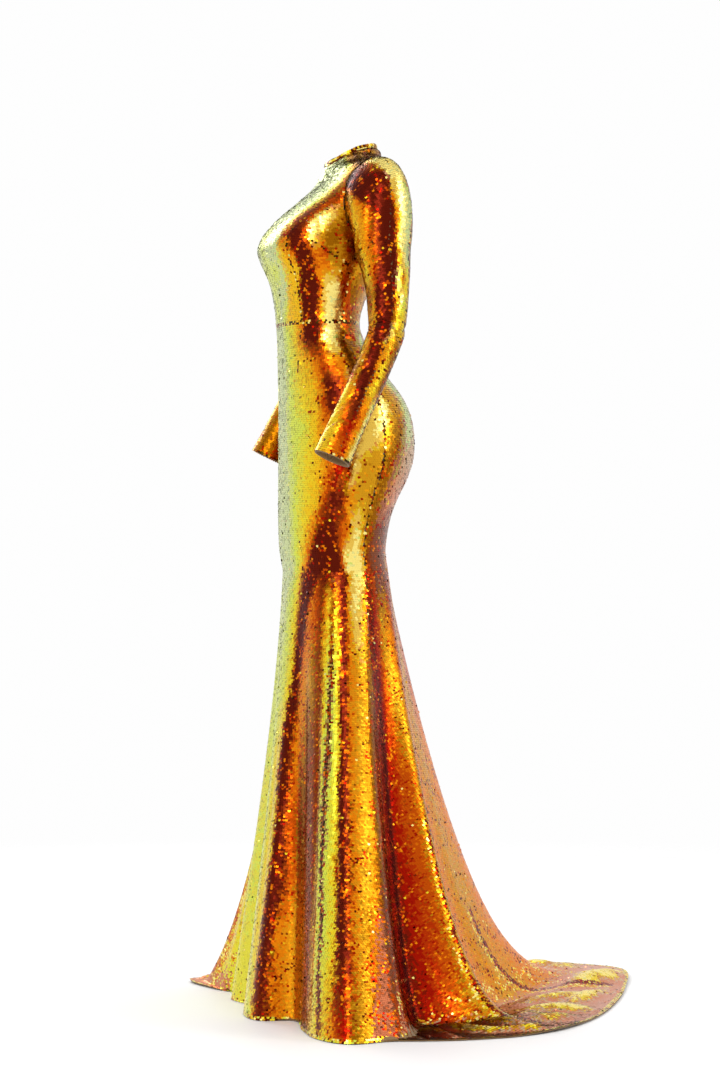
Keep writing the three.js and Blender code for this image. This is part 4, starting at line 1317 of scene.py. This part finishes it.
def neck_edge():
    """Narrow binding round the neckline with its own small sequins standing on it."""
    binding = copied_shell("neck_band", "neck_binding", False)
    random = np.random.default_rng(77)
    turn = np.linspace(0, 2 * np.pi, BINDING["around"], endpoint=False)
    rings = []
    ways = []
    for rise, moved in zip(BINDING["rises"], (0.0, turn[1] / 2)):
        across = (NECK["half_width"] - BINDING["inside"]) * np.sin(turn + moved)
        deep = NECK["middle"] - (NECK["half_depth"] - BINDING["inside"]) * np.cos(turn + moved)
        height = neck_height(across, deep) + BINDING["lift"] + rise
        rings.append(np.stack([across, deep, height], axis=-1))
        ways.append(np.stack([np.sin(turn + moved), -np.cos(turn + moved),
                              np.full(len(turn), 0.25)], axis=-1))
    centres = np.concatenate(rings)
    normals = unit(np.concatenate(ways))
    downs = np.tile(np.array([0.0, 0.0, -1.0]), (len(centres), 1))
    colours = pick_colours(len(centres), ("yellow", "dark", "gold", "white", "olive"), random)
    tones = nearest_tones(colours, random)
    sequins = add_sequins("sequins_neck_band", centres, normals, downs, tones, 78)
    return binding, sequins


def neck_height(across, deep):
    return height_at(across, deep, SHOULDER["height"], BODICE_TOP - 0.6)


def seam_allowances():
    """Seam allowances on the inside, at the centre back and under the neck binding."""
    angles, heights = np.meshgrid(np.linspace(ALLOWANCE["start"], ALLOWANCE["end"], 5),
                                  np.linspace(WAIST + 1, BODICE_TOP - 3, 120))
    normals, _ = outward_normals(bodice_surface, angles, heights, BODY_STEPS)
    strip = bodice_surface(angles, heights) - normals * ALLOWANCE["inside"]
    back = add_object("allowance_centre_back", shell_mesh("allowance_centre_back", strip, normals, False),
                      [GROUND_CLOTH])
    turn = np.linspace(0, 2 * np.pi, 96, endpoint=False)
    across = (NECK["half_width"] - ALLOWANCE["neck_inside"]) * np.sin(turn)
    deep = NECK["middle"] - (NECK["half_depth"] - ALLOWANCE["neck_inside"]) * np.cos(turn)
    edge = neck_height(across, deep)
    rings = np.stack([np.stack([across, deep, edge + rise], -1) for rise in ALLOWANCE["neck_rises"]])
    ways = np.stack([np.sin(turn), -np.cos(turn), np.zeros(len(turn))], -1)
    neck = add_object("allowance_neck", shell_mesh("allowance_neck", rings, np.tile(ways, (5, 1, 1)), True),
                      [GROUND_CLOTH])
    for piece in (back, neck):
        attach(piece, "root")
    return back, neck


# Stage, light and camera.
def add_stage():
    """A round pale floor that fades away into the pale room."""
    rings, around, reach = 12, 96, 3.4
    turn = np.linspace(0, 2 * np.pi, around, endpoint=False)
    points = [(0.0, 0.0, -ORIGIN_HEIGHT / 1000)]
    for ring in range(1, rings + 1):
        radius = reach * ring / rings
        points += [(radius * math.cos(way), radius * math.sin(way), points[0][2]) for way in turn]
    faces = [(0, 1 + side, 1 + (side + 1) % around) for side in range(around)]
    for ring in range(rings - 1):
        inner, outer = 1 + ring * around, 1 + (ring + 1) * around
        faces += [(inner + side, outer + side, outer + (side + 1) % around,
                   inner + (side + 1) % around) for side in range(around)]
    mesh = bpy.data.meshes.new("floor")
    mesh.from_pydata(points, [], faces)
    material = bpy.data.materials.new("floor")
    material.use_nodes = True
    tree = material.node_tree
    shader = tree.nodes["Principled BSDF"]
    shader.inputs["Base Color"].default_value = (0.93, 0.93, 0.93, 1)
    shader.inputs["Roughness"].default_value = 0.5
    place = tree.nodes.new("ShaderNodeTexCoord")
    distance = tree.nodes.new("ShaderNodeVectorMath")
    distance.operation = "LENGTH"
    fade = tree.nodes.new("ShaderNodeMapRange")
    fade.interpolation_type = "SMOOTHSTEP"
    fade.inputs["From Min"].default_value = 1.7
    fade.inputs["From Max"].default_value = 3.3
    clear = tree.nodes.new("ShaderNodeBsdfTransparent")
    blend = tree.nodes.new("ShaderNodeMixShader")
    level = tree.nodes.new("ShaderNodeVectorMath")
    level.operation = "MULTIPLY"
    level.inputs[1].default_value = (1, 1, 0)
    link(tree, (place, "Object", level, 0), (level, "Vector", distance, 0),
         (distance, "Value", fade, "Value"), (fade, "Result", blend, "Fac"),
         (shader, "BSDF", blend, 1), (clear, "BSDF", blend, 2),
         (blend, "Shader", tree.nodes["Material Output"], "Surface"))
    add_object("floor", mesh, [material])


def add_world():
    world = bpy.data.worlds.new("studio")
    world.use_nodes = True
    background = world.node_tree.nodes["Background"]
    background.inputs["Color"].default_value = (1.0, 1.0, 1.0, 1)
    background.inputs["Strength"].default_value = 0.99
    bpy.context.scene.world = world


def add_light(name, place, aim, size, power):
    lamp = bpy.data.lights.new(name, "AREA")
    lamp.shape = "RECTANGLE"
    lamp.size, lamp.size_y = size
    lamp.energy = power
    piece = bpy.data.objects.new(name, lamp)
    bpy.context.scene.collection.objects.link(piece)
    way = Vector(aim) - Vector(place)
    piece.matrix_world = Matrix.Translation(place) @ way.to_track_quat("-Z", "Y").to_matrix().to_4x4()


CAMERA = {"azimuth": 77.0, "distance": 5.6, "height": 0.845, "aside": 0.040, "focal_pixels": 3111.0,
          "image_height": 1080.0, "sensor": 24.0}


def add_camera():
    turn = math.radians(CAMERA["azimuth"])
    right = Vector((math.cos(turn), math.sin(turn), 0))
    back = Vector((math.sin(turn), -math.cos(turn), 0))
    place = right * CAMERA["aside"] + back * CAMERA["distance"]
    place.z = CAMERA["height"] - ORIGIN_HEIGHT / 1000
    data = bpy.data.cameras.new("camera")
    data.sensor_fit = "VERTICAL"
    data.sensor_height = CAMERA["sensor"]
    data.lens = CAMERA["sensor"] * CAMERA["focal_pixels"] / CAMERA["image_height"]
    data.clip_end = 60
    camera = bpy.data.objects.new("camera", data)
    bpy.context.scene.collection.objects.link(camera)
    turned = (-back).to_track_quat("-Z", "Y").to_matrix().to_4x4()
    camera.matrix_world = Matrix.Translation(place) @ turned
    bpy.context.scene.camera = camera


add_camera()
add_stage()
add_world()
add_light("key", (4.2, -3.6, 2.6), (0, 0, -0.4), (2.4, 3.0), 105)
add_light("back_left", (2.6, 4.4, 2.0), (0, 0.1, -0.6), (1.6, 2.6), 55)
add_light("right", (-4.4, -1.6, 2.2), (0, 0, -0.5), (2.0, 2.6), 65)
bpy.context.scene.view_settings.view_transform = "Standard"

shells = {
    "skirt_front": skirt_shell("skirt_front", -SIDE_SEAM + 0.05, SIDE_SEAM - 0.05, 150),
    "skirt_back_left": skirt_shell("skirt_back_left", SIDE_SEAM + 0.05, 179.9, 72),
    "skirt_back_right": skirt_shell("skirt_back_right", 180.1, 360 - SIDE_SEAM - 0.05, 72),
    "sleeve_left": sleeve_shell("sleeve_left", LEFT_ARM, 1.0),
    "sleeve_right": sleeve_shell("sleeve_right", RIGHT_ARM, -1.0),
}
for node in ("bodice_centre_front", "bodice_side_front_left", "bodice_side_front_right",
             "bodice_back_left", "bodice_back_right"):
    shells[node] = copied_shell("cloth_" + node, node, True)

FRONT = (-SIDE_SEAM + 0.4, SIDE_SEAM - 0.4)
BACK_LEFT = (SIDE_SEAM + 0.4, 179.6)
BACK_RIGHT = (180.4, 360 - SIDE_SEAM - 0.4)
with_sequins = {
    "skirt_front": [
        *hip_sequins(["sequins_hips_front"], *FRONT, 41, "sequin_front"),
        *flare_sequins(["sequins_flare_front_right", "sequins_flare_front_left"], *FRONT, 42,
                       "sequin_front"),
    ],
    "skirt_back_left": [
        *hip_sequins(["sequins_hips_back_left"], *BACK_LEFT, 43, "sequin_side"),
        *flare_sequins(["sequins_flare_back_left"], *BACK_LEFT, 44, "sequin_side"),
    ],
    "skirt_back_right": [
        *hip_sequins(["sequins_hips_back_right"], *BACK_RIGHT, 45, "sequin_back"),
        *flare_sequins(["sequins_flare_back_right"], *BACK_RIGHT, 46, "sequin_back"),
    ],
    "sleeve_left": [sleeve_sequins("sequins_sleeve_left", LEFT_ARM, 1.0, 51)],
    "sleeve_right": [sleeve_sequins("sequins_sleeve_right", RIGHT_ARM, -1.0, 61)],
}
with_sequins.update(bodice_sequins())
binding, binding_sequins = neck_edge()
shells["neck_binding"] = binding
back_allowance, neck_allowance = seam_allowances()
with_sequins["neck_binding"] = [binding_sequins, neck_allowance]
with_sequins["bodice_back_left"].append(back_allowance)
